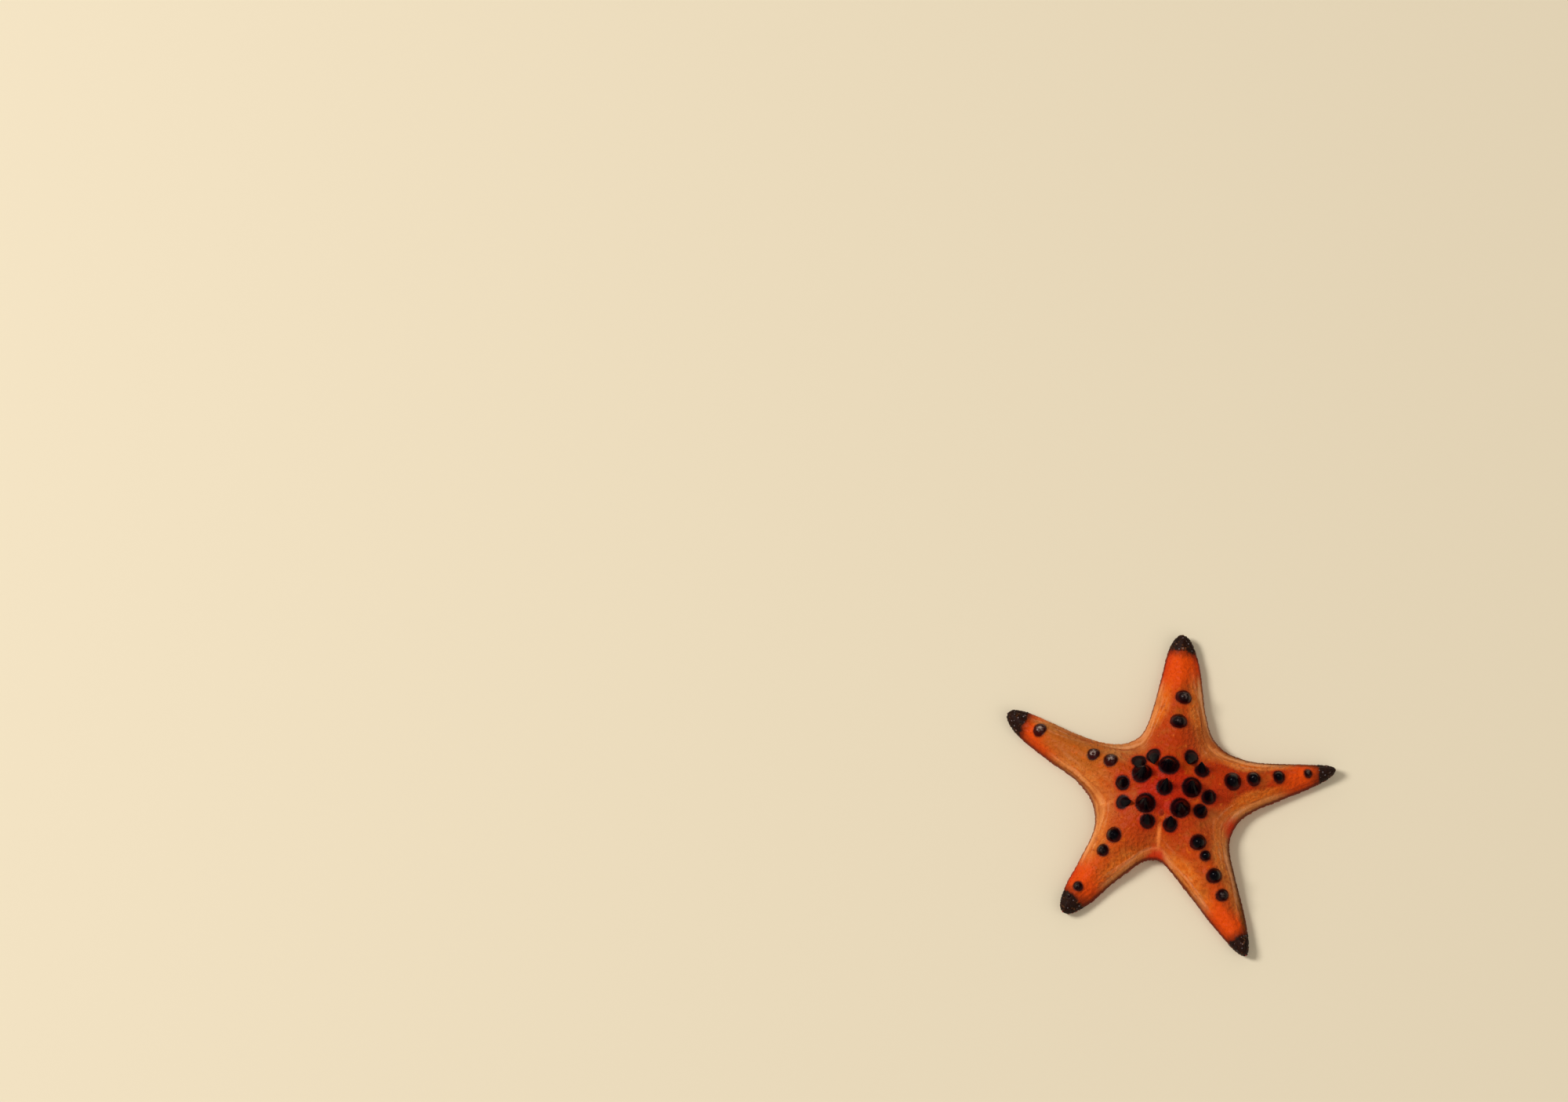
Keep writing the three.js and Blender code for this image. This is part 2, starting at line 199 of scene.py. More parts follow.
@dataclass
class Shape:
    """A mesh in the making: points in millimetres, four-cornered faces, values and a map.

    A face may name one point twice where a grid closes on a pole. corner_map gives each face corner's
    place on the OFBake map, and values gives each point's numbers by name.
    """

    points: Floats
    faces: Ints
    corner_map: Floats
    values: dict[str, Floats] = field(default_factory=dict)

    def normals(self) -> Floats:
        """Outward unit normals at the points: the summed crosses of the diagonals of the faces around.

        Returns:
            The normals, (n, 3).
        """
        a, b, c, d = (self.points[self.faces[:, i]] for i in range(4))
        total = np.zeros_like(self.points)
        for i in range(4):
            np.add.at(total, self.faces[:, i], np.cross(c - a, d - b))
        return total / np.maximum(np.linalg.norm(total, axis=1, keepdims=True), 1e-12)

    def welded(self) -> "Shape":
        """The same shape with points that share a place made one.

        Returns:
            The welded shape.
        """
        _, first, twin = np.unique(np.round(self.points, 5), axis=0, return_index=True, return_inverse=True)
        values = {name: numbers[first] for name, numbers in self.values.items()}
        return Shape(self.points[first], twin.reshape(-1)[self.faces], self.corner_map, values)

    def repeated(self, places: Floats, axes: Floats, scales: Any = ((1, 1, 1),)) -> "Shape":
        """Copies of a shape that stands on the Z axis, stood on places.

        The copies' maps are tiles of one sheet, and each copy's points carry its number as "copy".

        Args:
            places: where each copy's origin goes, (n, 3).
            axes: unit direction of each copy's Z axis, (n, 3).
            scales: each copy's size in X, Y and Z, (n, 3).

        Returns:
            All copies as one shape.
        """
        count, size = len(places), len(self.points)
        scaled = self.points[None] * np.asarray(scales)[:, None]
        points = np.einsum("nij,nkj->nki", turned_axes(axes), scaled) + places[:, None]
        faces = self.faces[None] + size * np.arange(count)[:, None, None]
        values = {name: np.tile(numbers, count) for name, numbers in self.values.items()}
        values["copy"] = np.repeat(np.arange(count, dtype=float), size)
        across = math.ceil(math.sqrt(count))
        tile = stacked(np.arange(count) % across, np.arange(count) // across)
        corner_map = (tile[:, None, None] + MAP_GAP + (1 - 2 * MAP_GAP) * self.corner_map[None]) / across
        return Shape(points.reshape(-1, 3), faces.reshape(-1, 4), corner_map.reshape(-1, 4, 2), values)


def turned_axes(axes: Floats) -> Floats:
    """Matrices that turn the Z axis to each of the given directions.

    Args:
        axes: unit directions, (n, 3).

    Returns:
        Rotation matrices with the directions as third columns, (n, 3, 3).
    """
    helper = np.where(np.abs(axes[:, 1:2]) < 0.9, [[0.0, 1.0, 0.0]], [[1.0, 0.0, 0.0]])
    first = np.cross(helper, axes)
    first /= np.linalg.norm(first, axis=1, keepdims=True)
    return stacked(first, np.cross(axes, first), axes)


def grid_faces(rows: int, columns: int) -> Ints:
    """Faces between the neighbouring points of a grid, numbered row by row, whose last row joins the first.

    Args:
        rows: number of rows of points.
        columns: number of points in a row.

    Returns:
        Point numbers, (faces, 4), anticlockwise where rows run to the left of columns.
    """
    row, column = np.divmod(np.arange(rows * (columns - 1)), columns - 1)
    here, beyond = row * columns + column, (row + 1) % rows * columns + column
    return stacked(here, here + 1, beyond + 1, beyond)


def lathe(breadths: Floats, heights: Floats, sides: int) -> Shape:
    """A surface of revolution about the Z axis, from its bottom to its top.

    Args:
        breadths: distance from the axis at each step of the profile.
        heights: height at each step of the profile.
        sides: number of faces round the axis.

    Returns:
        The surface, with "rise" from 0 to 1 along the profile and a map of turn against rise.
    """
    steps = len(breadths)
    turn = np.linspace(0, FULL_TURN, sides, endpoint=False)[:, None]
    points = stacked(np.cos(turn) * breadths, np.sin(turn) * breadths, heights).reshape(-1, 3)
    faces = grid_faces(sides, steps)[:, [0, 3, 2, 1]]
    rise = np.linspace(0, 1, steps)
    side, step = np.divmod(np.arange(len(faces)), steps - 1)
    share = stacked(side, side + 1, side + 1, side) / sides
    up = rise[stacked(step, step, step + 1, step + 1)]
    return Shape(points, faces, stacked(share, up), {"rise": np.tile(rise, sides)}).welded()


def dome(steps: int, sides: int, foot: float, depth: float, powers: tuple[float, float] = (1, 1)) -> Shape:
    """A dome of radius and height 1, on a foot that goes down into what it stands on.

    Args:
        steps: number of rings of the dome, its top among them.
        sides: number of faces round the axis.
        foot: breadth of the foot.
        depth: how far the foot goes down.
        powers: of the cosine that gives the breadth, and of the sine that gives the height.

    Returns:
        The dome.
    """
    angle = np.linspace(0, math.pi / 2, steps)
    breadth, height = np.cos(angle) ** powers[0], np.sin(angle) ** powers[1]
    breadth[-1] = 0
    return lathe(np.concatenate([[0, foot], breadth]), np.concatenate([[-depth, -depth], height]), sides)


def joined(shapes: list[Shape]) -> Shape:
    """Several shapes that carry the same values as one.

    Args:
        shapes: what to join.

    Returns:
        One shape, whose maps lie beside each other.
    """
    starts = np.cumsum([0] + [len(shape.points) for shape in shapes[:-1]])
    return Shape(
        np.concatenate([shape.points for shape in shapes]),
        np.concatenate([shape.faces + start for shape, start in zip(shapes, starts)]),
        np.concatenate([(s.corner_map + [[[i, 0]]]) / [[[len(shapes), 1]]] for i, s in enumerate(shapes)]),
        {name: np.concatenate([shape.values[name] for shape in shapes]) for name in shapes[0].values},
    )


def make_piece(name: str, shape: Shape, material: bpy.types.Material) -> bpy.types.Object:
    """A shape as a finished object that rides on the animal's one body.

    Args:
        name: the object's name.
        shape: its form, in millimetres from the disc's axis.
        material: its finish.

    Returns:
        The new object, at the origin, with its place in its mesh.
    """
    differs = shape.faces != np.roll(shape.faces, 1, axis=1)
    kept = differs.sum(axis=1) >= 3
    differs = differs[kept]
    corners = differs.sum(axis=1)
    mesh = bpy.data.meshes.new(name)
    mesh.vertices.add(len(shape.points))
    mesh.vertices.foreach_set("co", (shape.points * MM + disc_axis()).astype(np.float32).ravel())
    mesh.loops.add(int(corners.sum()))
    mesh.loops.foreach_set("vertex_index", shape.faces[kept][differs].astype(np.int32))
    mesh.polygons.add(len(corners))
    mesh.polygons.foreach_set("loop_start", (np.cumsum(corners) - corners).astype(np.int32))
    layer = mesh.uv_layers.new(name="OFBake")
    layer.data.foreach_set("uv", shape.corner_map[kept][differs].astype(np.float32).ravel())
    for label, numbers in shape.values.items():
        attribute = mesh.attributes.new(label, "FLOAT", "POINT")
        attribute.data.foreach_set("value", numbers.astype(np.float32))
    mesh.update(calc_edges=True)
    mesh.validate()
    mesh.polygons.foreach_set("use_smooth", np.ones(len(mesh.polygons), bool))
    mesh.materials.append(material)
    piece = shown(name, mesh)
    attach(piece, "root")
    return piece


def shown(name: str, data: Any) -> bpy.types.Object:
    """A new object in the scene that shows a mesh, a light or a camera.

    Args:
        name: its name.
        data: what it shows.

    Returns:
        The object.
    """
    holder = bpy.data.objects.new(name, data)
    bpy.context.scene.collection.objects.link(holder)
    return holder


def disc_axis() -> Floats:
    """Where the disc's axis meets the floor, in metres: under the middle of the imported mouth."""
    low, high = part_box("mouth")
    return np.array([(low.x + high.x) / 2, (low.y + high.y) / 2, 0.0])


# -------- materials


def linear(colour: str) -> tuple[float, float, float, float]:
    """An sRGB colour such as "#c0ffee" as linear red, green, blue and full alpha."""
    shares = [int(colour[i : i + 2], 16) / 255 for i in (1, 3, 5)]
    return (*(c / 12.92 if c <= 0.04045 else ((c + 0.055) / 1.055) ** 2.4 for c in shares), 1.0)


class Finish:
    """A node material under construction, whose colours lie over each other by factors.

    A factor is a number, a socket, a name, a curve or a list. A name stands for one of the known sockets,
    or else for the mesh's value of that name, and a list for the product of its factors. A curve
    (factor, low, high) is an S curve, 0 at low and 1 at high. Pairs of a factor and a swing may follow:
    each first shifts the curve's factor by up to half of the swing either way.
    """

    def __init__(self, name: str, **noises: tuple[float, float]) -> None:
        """Starts a node tree.

        Args:
            name: the material's name.
            noises: size of lumps in millimetres and detail of each known noise, by name.
        """
        self.material = bpy.data.materials.new(name)
        self.material.use_nodes = True
        self.tree = self.material.node_tree
        self.tree.nodes.clear()
        self.place = self.add("TexCoord", out="Object")
        self.known: dict[str, Any] = {}
        for known, (size, detail) in noises.items():
            inputs = {"Vector": self.place, "Scale": 1 / (size * MM), "Detail": detail}
            self.known[known] = self.add("TexNoise", inputs, out="Fac")

    def name(self, **factors: Any) -> None:
        """Makes factors known by name, each from those before it."""
        for name, factor in factors.items():
            self.known[name] = self.factor(factor)

    def add(self, kind: str, inputs: dict[Any, Any] | None = None, out: Any = 0, **settings: Any) -> Any:
        """Adds a node, sets its properties and fills its inputs.

        Args:
            kind: the node's type name after "ShaderNode".
            inputs: by name or number, a socket to link from, a number, or an sRGB colour.
            out: name or number of the output to give back.
            settings: the node's own properties.

        Returns:
            The output socket asked for.
        """
        node = self.tree.nodes.new("ShaderNode" + kind)
        for name, value in settings.items():
            setattr(node, name, value)
        for key, value in (inputs or {}).items():
            if isinstance(value, bpy.types.NodeSocket):
                self.tree.links.new(value, node.inputs[key])
            else:
                node.inputs[key].default_value = linear(value) if isinstance(value, str) else value
        return node.outputs[out]

    def factor(self, factor: Any) -> Any:
        """The socket or number that a factor stands for.

        Args:
            factor: as in the class's description.

        Returns:
            The socket, or the number itself.
        """
        if isinstance(factor, str):
            if factor not in self.known:
                self.known[factor] = self.add("Attribute", out="Fac", attribute_name=factor)
            return self.known[factor]
        if isinstance(factor, tuple):
            value, low, high, *shifts = factor
            number = self.factor(value)
            for shift, swing in zip(shifts[::2], shifts[1::2]):
                around = self.add("Math", {0: self.factor(shift), 1: -0.5}, operation="ADD")
                number = self.add("Math", {0: around, 1: swing, 2: number}, operation="MULTIPLY_ADD")
            inputs = {"Value": number, "From Min": low, "From Max": high}
            return self.add("MapRange", inputs, interpolation_type="SMOOTHSTEP")
        if isinstance(factor, list):
            product, *others = [self.factor(one) for one in factor]
            for other in others:
                product = self.add("Math", {0: product, 1: other}, operation="MULTIPLY")
            return product
        return factor

    def surface(self, base: str, layers: list[tuple[Any, ...]], inputs: dict[str, Any]) -> bpy.types.Material:
        """Ends the tree with a Principled shader whose colour is built up in layers.

        Args:
            base: the lowest colour.
            layers: the colours over it, each with the factors whose product is its strength.
            inputs: the shader's other inputs by name.

        Returns:
            The finished material.
        """
        colour = base
        for over, *factors in layers:
            colour = self.add("Mix", {0: self.factor(factors), 6: colour, 7: over}, out=2, data_type="RGBA")
        shader = self.add("BsdfPrincipled", {"Base Color": colour} | inputs)
        self.tree.links.new(shader, self.tree.nodes.new("ShaderNodeOutputMaterial").inputs["Surface"])
        return self.material


# -------- the animal's form


@dataclass(frozen=True)
class Arm:
    """One arm: its direction, size and horns, its own markings and painted shade. Millimetres and degrees.

    flare and tip are the half widths of its straight sides in the middle of the disc and at its end.
    web is the distance from the middle of the disc to the notch on its left. horns are (along, to its
    left, radius, how far worn to a pale top: real wear, its pale partly a painted highlight). crown is the
    disc's main horn before it and shoulder the two lesser horns above the notch on its left: (distance,
    turn from the arm or notch, radius, height, lean to +X, lean to +Y), the leans as shares of the height.
    """

    name: str
    azimuth: float
    length: float
    bow: float
    flare: float
    tip: float
    web: float
    horns: tuple[tuple[float, ...], ...]
    crown: tuple[float, ...]
    shoulder: tuple[tuple[float, ...], ...]
    tip_length: float  # of the black end
    vivid_from: tuple[float, float]  # along its right and left, where the red-orange outer part begins
    pale: tuple[float, float, float]  # strength of the pale band on its right, on its left, at its left notch
    olive: tuple[float, float]  # strength of the olive cast on its right and on its left
    edge: tuple[float, float]  # strength of the painted shade along its edge, on its right and on its left
    ridge_red: float  # strength of the red along its ridge
    notch_red: float  # strength of the red patch in the notch on its left
    seam: float  # strength of the pale seam from that notch to the disc's horns
    dull: float = 0.0  # strength of the brown cast on the middle of its length


ARMS = (
    Arm("right", 6, 122, 5.5, 27, 6, 52.5,
        ((48, 0.5, 5.6, 0), (63, 1, 4.5, 0), (81, 0.5, 3.9, 0), (102, 0, 2.6, 0.2)),
        crown=(19, -6, 5.9, 13, 0.05, 0.1),
        shoulder=((29, -18, 4.4, 9.5, -0.05, 0.55), (29.5, 8, 4.6, 9.5, -0.15, -0.7)),
        tip_length=12, vivid_from=(84, 92), pale=(0.6, 0.75, 0.4), olive=(0.1, 0.3), edge=(0.4, 0.85),
        ridge_red=1.5, notch_red=0.2, seam=0.15),
    Arm("far", 80, 117, 7, 28, 10, 45.5,
        ((50, -1.3, 5.2, 0.1), (69, -2.5, 5.0, 0.25)),
        crown=(16, -1, 5.9, 13, -0.05, 0.15),
        shoulder=((25, -10, 4.6, 10, 0.0, -0.75), (26.5, 15, 4.6, 9.5, 0.05, -0.7)),
        tip_length=12, vivid_from=(86, 78), pale=(1.0, 0.6, 0.35), olive=(0.25, 0.0), edge=(0.05, 0.1),
        ridge_red=0.85, notch_red=0.25, seam=0.1),
    Arm("left", 155.5, 126, -8, 19.5, 9.5, 51,
        ((43, -3, 4.6, 0.8), (56, -2.3, 4.1, 1), (99, -1, 4.2, 1)),
        crown=(19, -9, 5.9, 13, 0.1, 0.1),
        shoulder=((29.5, -20, 4.4, 8, -0.1, 0.1), (30.5, 6, 4.4, 9, 0.55, -0.1)),
        tip_length=14, vivid_from=(108, 84), pale=(0.1, 0.3, 0.6), olive=(1.0, 0.35), edge=(0.0, 0.5),
        ridge_red=0.2, notch_red=0.0, seam=0.4, dull=0.85),
    Arm("near_left", 228, 111, 3, 26, 9, 47.5,
        ((48, -4.5, 5.1, 0), (61, -3.5, 4.1, 0.1), (91, -1.5, 3.2, 0.2), (100, -2.2, 1.8, 0.2)),
        crown=(17.5, -8, 5.9, 13, -0.05, 0.05),
        shoulder=((26.5, -20, 4.4, 9, 0.05, 0.3), (26.5, 16, 4.4, 9.5, 0.0, 0.4)),
        tip_length=12.5, vivid_from=(76, 80), pale=(0.6, 0.6, 0.3), olive=(0.25, 0.1), edge=(0.0, 0.6),
        ridge_red=0.6, notch_red=1.0, seam=1.0),
    Arm("near_right", 297.5, 129, -3, 32, 6.5, 55,
        ((45, 2.8, 5.3, 0), (55.5, 3, 3.5, 0), (70.5, 2.6, 5.0, 0), (85, 2, 4.0, 0.2)),
        crown=(18.5, 9, 5.9, 13, 0.0, 0.05),
        shoulder=((29.5, -5, 4.4, 9, 0.45, 0.1), (31.5, 17, 4.4, 9, 0.25, 0.15)),
        tip_length=13, vivid_from=(90, 104), pale=(0.2, 0.65, 0.5), olive=(0.1, 0.4), edge=(0.4, 1.0),
        ridge_red=0.75, notch_red=0.9, seam=0.3),
)


def half_gap(arm: Arm) -> float:
    """Half the angle from an arm to the next one anticlockwise, in radians."""
    after = ARMS[(ARMS.index(arm) + 1) % len(ARMS)]
    return math.radians((after.azimuth - arm.azimuth) % 360) / 2


def notch_azimuth(arm: Arm) -> float:
    """Azimuth of the notch on an arm's left, in radians."""
    return math.radians(arm.azimuth) + half_gap(arm)


@dataclass(frozen=True)
class BodyForm:
    """Formulas of the body that all arms share. Millimetres."""

    disc_height: float = 34.0
    arm_end_height: float = 9.0
    ridge_fall: float = 1.25
    margin_height: float = 8.5
    breadth_power: float = 1.55
    height_power: float = 1.3
    tip_roundness: float = 12.0
    tip_set_back: float = 0.6
    fan_length: float = 23.0
    bend_start: float = 50.0
    bend_power: float = 1.6
    tip_lift: float = 4.0
    lift_start: float = 0.72
    tuck: float = 4.0
    most_tuck: float = 0.22  # of a rib's length
    sole_band: float = 6.0
    sole_hollow: float = 1.2
    groove_half_width: float = 3.8
    groove_share: float = 0.3
    groove_depth: float = 5.5
    wall_powers: tuple[float, float] = (0.83, 1.1)  # of the groove's breadth and height
    mouth_depth: float = 3.0
    mouth_spread: float = 12.0

    def taper(self, arm: Arm, along: Floats) -> Floats:
        """An arm's half width before its bend: flare to tip, times the root of 1 - way ^ roundness."""
        straight = arm.flare + (arm.tip - arm.flare) * (along / arm.length)
        return straight * np.sqrt(np.maximum(0, 1 - (along / arm.length) ** self.tip_roundness))

    def bend(self, arm: Arm, along: Floats) -> Floats:
        """How far an arm's middle line has bent to its left: bow times a power of the share of the way."""
        beyond = np.maximum(0, (along - self.bend_start) / (arm.length - self.bend_start))
        return arm.bow * beyond**self.bend_power

    def place(self, arm: Arm, along: Floats, aside: Floats, up: Floats) -> Floats:
        """Points given in an arm's straight frame, bent, lifted at its end and turned to its azimuth.

        Args:
            arm: the arm.
            along: distances from the middle of the disc.
            aside: distances to the arm's left.
            up: heights.

        Returns:
            Points in the animal's frame, with X, Y and Z as the last axis.
        """
        left = aside + self.bend(arm, along)
        raised = np.maximum(0, (along / arm.length - self.lift_start) / (1 - self.lift_start))
        turn = math.radians(arm.azimuth)
        x = along * math.cos(turn) - left * math.sin(turn)
        y = along * math.sin(turn) + left * math.cos(turn)
        return stacked(x, y, up + self.tip_lift * raised**2)

    def crest(self, arm: Arm, along: Floats) -> Floats:
        """Height of an arm's ridge: it falls from the disc's to the arm end's by a power of the way."""
        fallen = 1 - (along / arm.length) ** self.ridge_fall
        return self.arm_end_height + (self.disc_height - self.arm_end_height) * fallen

    def roof(self, arm: Arm, along: Floats) -> Floats:
        """Height of the feeding groove's roof: it falls to half along the arm and rises over the mouth."""
        closing = 1 - 0.5 * along / arm.length
        return self.groove_depth * closing + self.mouth_depth * bell(along, self.mouth_spread)

    def groove(self, half_width: Floats) -> Floats:
        """Half width of the feeding groove where the arm has a half width."""
        return np.minimum(self.groove_half_width, self.groove_share * half_width)

    def lip(self, arm: Arm, along: Floats) -> Floats:
        """Half width of an arm's feeding groove at distances along the arm."""
        return self.groove(self.taper(arm, along))


@dataclass(frozen=True)
class ArmSide:
    """One side of an arm, from the notch to the arm's end."""

    form: BodyForm
    arm: Arm
    sign: int  # 1 on the arm's left, -1 on its right

    @property
    def opener(self) -> Arm:
        """The arm whose left notch this side starts at."""
        return self.arm if self.sign > 0 else ARMS[ARMS.index(self.arm) - 1]

    @property
    def notch(self) -> float:
        """Distance of the notch, measured along the arm."""
        return self.opener.web * math.cos(half_gap(self.opener))

    def half_width(self, along: Floats) -> Floats:
        """The taper, widened near the disc by a web that fades along the arm and meets the notch square.

        Args:
            along: distances from the middle of the disc.

        Returns:
            taper + webbing times the natural exponent of (notch - along) / fade.
        """
        slope = (self.arm.tip - self.arm.flare) / self.arm.length
        gap = half_gap(self.opener)
        webbing = self.opener.web * math.sin(gap) - float(self.form.taper(self.arm, np.array(self.notch)))
        fade = webbing / (1 / math.tan(gap) + slope)
        return self.form.taper(self.arm, along) + webbing * np.exp((self.notch - along) / fade)

    def ridge_of(self, along: Floats) -> Floats:
        """Where on the ridge margin points' ribs start: at 0 for the notch, square across far from it."""
        swing, end = 1 - bell(along - self.notch, self.form.fan_length), along / self.arm.length
        return swing * (along - self.form.tip_set_back * self.arm.tip * end**self.form.tip_roundness)

    def margin_of(self, ridge: Floats) -> Floats:
        """The inverse of ridge_of, read off a fine table of it."""
        along = np.linspace(self.notch, self.arm.length, MARGIN_TABLE)
        return np.interp(ridge, self.ridge_of(along), along)


@dataclass(frozen=True)
class Horn:
    """One horn: its place in plan, its size, and how it is worn and coloured. Millimetres."""

    x: float
    y: float
    radius: float
    height: float
    cone: float  # 0 is a dome, 1 a cone
    lean: tuple[float, float] | None = None  # run of the tip over its height, or None for square on the skin
    worn: float = 0.0
    central: float = 0.0  # 1 among the dark red of the disc's middle


def horns_of_the_animal(form: BodyForm) -> list[Horn]:
    """Every horn: the middle one, each arm's crown and shoulder horns on the disc, and those on the arms.

    Args:
        form: the body's formulas.

    Returns:
        The horns, disc first in each arm's turn.
    """
    horns = [Horn(0, -0.5, 4.5, 12, 1, (0.1, 0.3), central=1)]
    for arm in ARMS:
        spots = [(arm.crown, math.radians(arm.azimuth), 1.0)]  # with how central its red is
        spots += [(spot, notch_azimuth(arm), 0.7) for spot in arm.shoulder]
        for (away, turn, radius, height, east, north), azimuth, central in spots:
            angle = azimuth + math.radians(turn)
            x, y = away * math.cos(angle), away * math.sin(angle)
            horns.append(Horn(x, y, radius, height, 0.9, (east, north), central=central))
        for along, aside, radius, worn in arm.horns:
            x, y, _ = form.place(arm, np.array(along), np.array(aside), np.array(0.0))
            height, cone = (1 + radius) * (1 - 0.4 * worn), 0.4 - 0.3 * worn  # low and round where worn
            horns.append(Horn(float(x), float(y), radius, height, cone, None, worn))
    return horns


# -------- the skin


@dataclass
class SkinFields:
    """What the skin's points know of their place: one number for each grid point, row by row."""

    arm: Ints
    sign: Ints
    along: Floats  # the arm, from the middle of the disc
    out: Floats  # share of the way from the ridge, or the groove's roof, to the margin
    rim: Floats  # length of skin to the widest line: above it positive, under it negative
    margin_along: Floats  # where the rib meets the margin
    margin_length: Floats  # length of margin from the rib to the notch
    under: Floats  # 0 above and at the margin, 1 on the sole


@dataclass
class Skin:
    """The one skin of disc and arms, with its relief and markings. Millimetres.

    Ten fans of ribs go round the animal. A rib runs from the ridge line over the margin, in under it to
    the sole and up into the feeding groove. The ribs swing round towards the notches, as in the body's
    formulas, and neighbouring fans share their ridge, groove and notch ribs.
    """

    form: BodyForm
    ribs: int = 128  # in a fan
    top_steps: int = 52
    tuck_steps: int = 7
    sole_steps: int = 10
    groove_steps: int = 7
    band_at_root: float = 11.5  # breadth of the marginal band
    band_at_tip: float = 4.5
    plate_length: float = 5.2  # of a marginal plate
    lump_size: float = 13.0
    lump_height: float = 0.5
    net_size: float = 4.0  # mean breadth of a mesh of the skin's net
    net_height: float = 0.45
    furrow_depth: float = 0.35
    plate_depth: float = 0.22
    boss_height: float = 1.0
    collar_height: float = 0.15
    sole_gap: float = 0.4  # between sole and floor, for the granules that the animal rests on

    def __post_init__(self) -> None:
        """Works out the smooth form, which horns and other pieces are set on."""
        self.base, self.fields = self.smooth_form()
        self.base_normals = self.base.normals()

    def rib_places(self, sides: tuple[ArmSide, ArmSide]) -> Floats:
        """Places of the ribs' starts on the ridge: even steps of ridge and margin length together.

        Args:
            sides: the arm's two sides.

        Returns:
            Distances from the middle of the disc, ribs + 1 of them.
        """
        arm = sides[0].arm
        ridge = np.linspace(0, arm.length - self.form.tip_set_back * arm.tip, RIDGE_TABLE)
        length = np.zeros_like(ridge)
        for side in sides:
            along = side.margin_of(ridge)
            margin = np.hypot(np.diff(along), np.diff(side.half_width(along)))
            length += running_length(np.diff(ridge), margin)
        return np.interp(np.linspace(0, length[-1], self.ribs + 1), length, ridge)

    def section(self, arm: Arm, ridge: Floats, reach: Floats, half_width: Floats) -> Floats:
        """The sections along ribs: over the top, round the margin, along the sole and into the groove.

        The top is a superellipse quarter, the tuck an ellipse quarter, the sole flat and then gently
        hollow, and the groove's wall a superellipse quarter. Each stretch is cut into even steps.

        Args:
            arm: the arm.
            ridge: where each rib starts on the ridge, (ribs, 1).
            reach: each rib's length in plan, (ribs, 1).
            half_width: the arm's half width at each rib's margin point, (ribs, 1).

        Returns:
            (share of the way out, height) at each step of each rib, (ribs, steps + 1, 2).
        """
        form = self.form
        crest, roof = form.crest(arm, ridge), form.roof(arm, ridge)
        margin = form.margin_height * (1 - ridge / arm.length / 2)
        tuck = np.minimum(form.tuck / reach, form.most_tuck)
        groove = form.groove(half_width) / np.maximum(half_width, 1)
        flat_end = 1 - tuck - np.minimum(form.sole_band / reach, (1 - tuck - groove) / 2)
        t = np.linspace(0, 1, SECTION_TABLE)
        sine, cosine = np.sin(math.pi / 2 * t), np.cos(math.pi / 2 * t)
        inner = 1 - tuck - (1 - tuck - groove) * t
        hollow = smooth_step(0, 1, (flat_end - inner) / (flat_end - groove))
        inward, upward = form.wall_powers
        top = margin + (crest - margin) * cosine ** (2 / form.height_power)
        wall = form.sole_hollow + (roof - form.sole_hollow) * sine**upward
        stretches = (
            (self.top_steps, sine ** (2 / form.breadth_power), top),
            (self.tuck_steps, 1 - tuck * (1 - cosine), margin * (1 - sine)),
            (self.sole_steps, inner, form.sole_hollow * hollow),
            (self.groove_steps, groove * cosine**inward, wall),
        )
        cut = []
        for count, *line in stretches:
            out, up = np.broadcast_arrays(*line)
            length = running_length(np.diff(out) * reach, np.diff(up))
            wanted = length[:, -1:] * np.linspace(0, 1, count + 1)
            rows = zip(wanted, length, out, up)
            steps = np.stack([stacked(np.interp(w, s, o), np.interp(w, s, u)) for w, s, o, u in rows])
            cut.append(steps[:, (1 if cut else 0) :])
        return np.concatenate(cut, axis=1)

    def fan(self, side: ArmSide, ridge: Floats) -> dict[str, Floats]:
        """One side of an arm as a grid of points and what they know of their place.

        Args:
            side: the side.
            ridge: where the ribs start.

        Returns:
            Arrays by name, whose rows run from the notch to the arm's end.
        """
        arm = side.arm
        margin_along = side.margin_of(ridge)
        margin_along[-1] = arm.length
        half_width = side.half_width(margin_along)
        half_width[-1] = 0
        margin_length = running_length(np.diff(margin_along), np.diff(half_width))
        ridge, margin_along, half_width = ridge[:, None], margin_along[:, None], half_width[:, None]
        run = margin_along - ridge
        reach = np.hypot(run, half_width)
        out, up = np.moveaxis(self.section(arm, ridge, reach, half_width), -1, 0)
        along = ridge + out * run
        length = running_length(np.diff(out) * reach, np.diff(up))
        unrolled = running_length(np.diff(ridge[:, 0]), np.diff(up[:, 0]))[:, None]
        turn = math.radians(arm.azimuth)
        spin = np.array([[math.cos(turn), math.sin(turn)], [-math.sin(turn), math.cos(turn)]])
        way = stacked(run, side.sign * half_width) / reach[..., None]
        column = np.arange(out.shape[1])
        grids = {
            "arm": ARMS.index(arm),
            "sign": side.sign,
            "along": along,
            "out": out,
            "rim": length[:, self.top_steps : self.top_steps + 1] - length,
            "margin_along": margin_along,
            "margin_length": margin_length[:, None],
            "under": smooth_step(self.top_steps + 1, self.top_steps + self.tuck_steps, column),
        }
        whole = np.ones_like(out)
        return {name: whole * numbers for name, numbers in grids.items()} | {
            "points": self.form.place(arm, along, side.sign * out * half_width, up),
            "above_map": (stacked(unrolled, 0) + way * length[..., None]) @ spin,
            "below_map": (stacked(ridge, 0) + way * (length[:, -1:] - length)[..., None]) @ spin,
        }

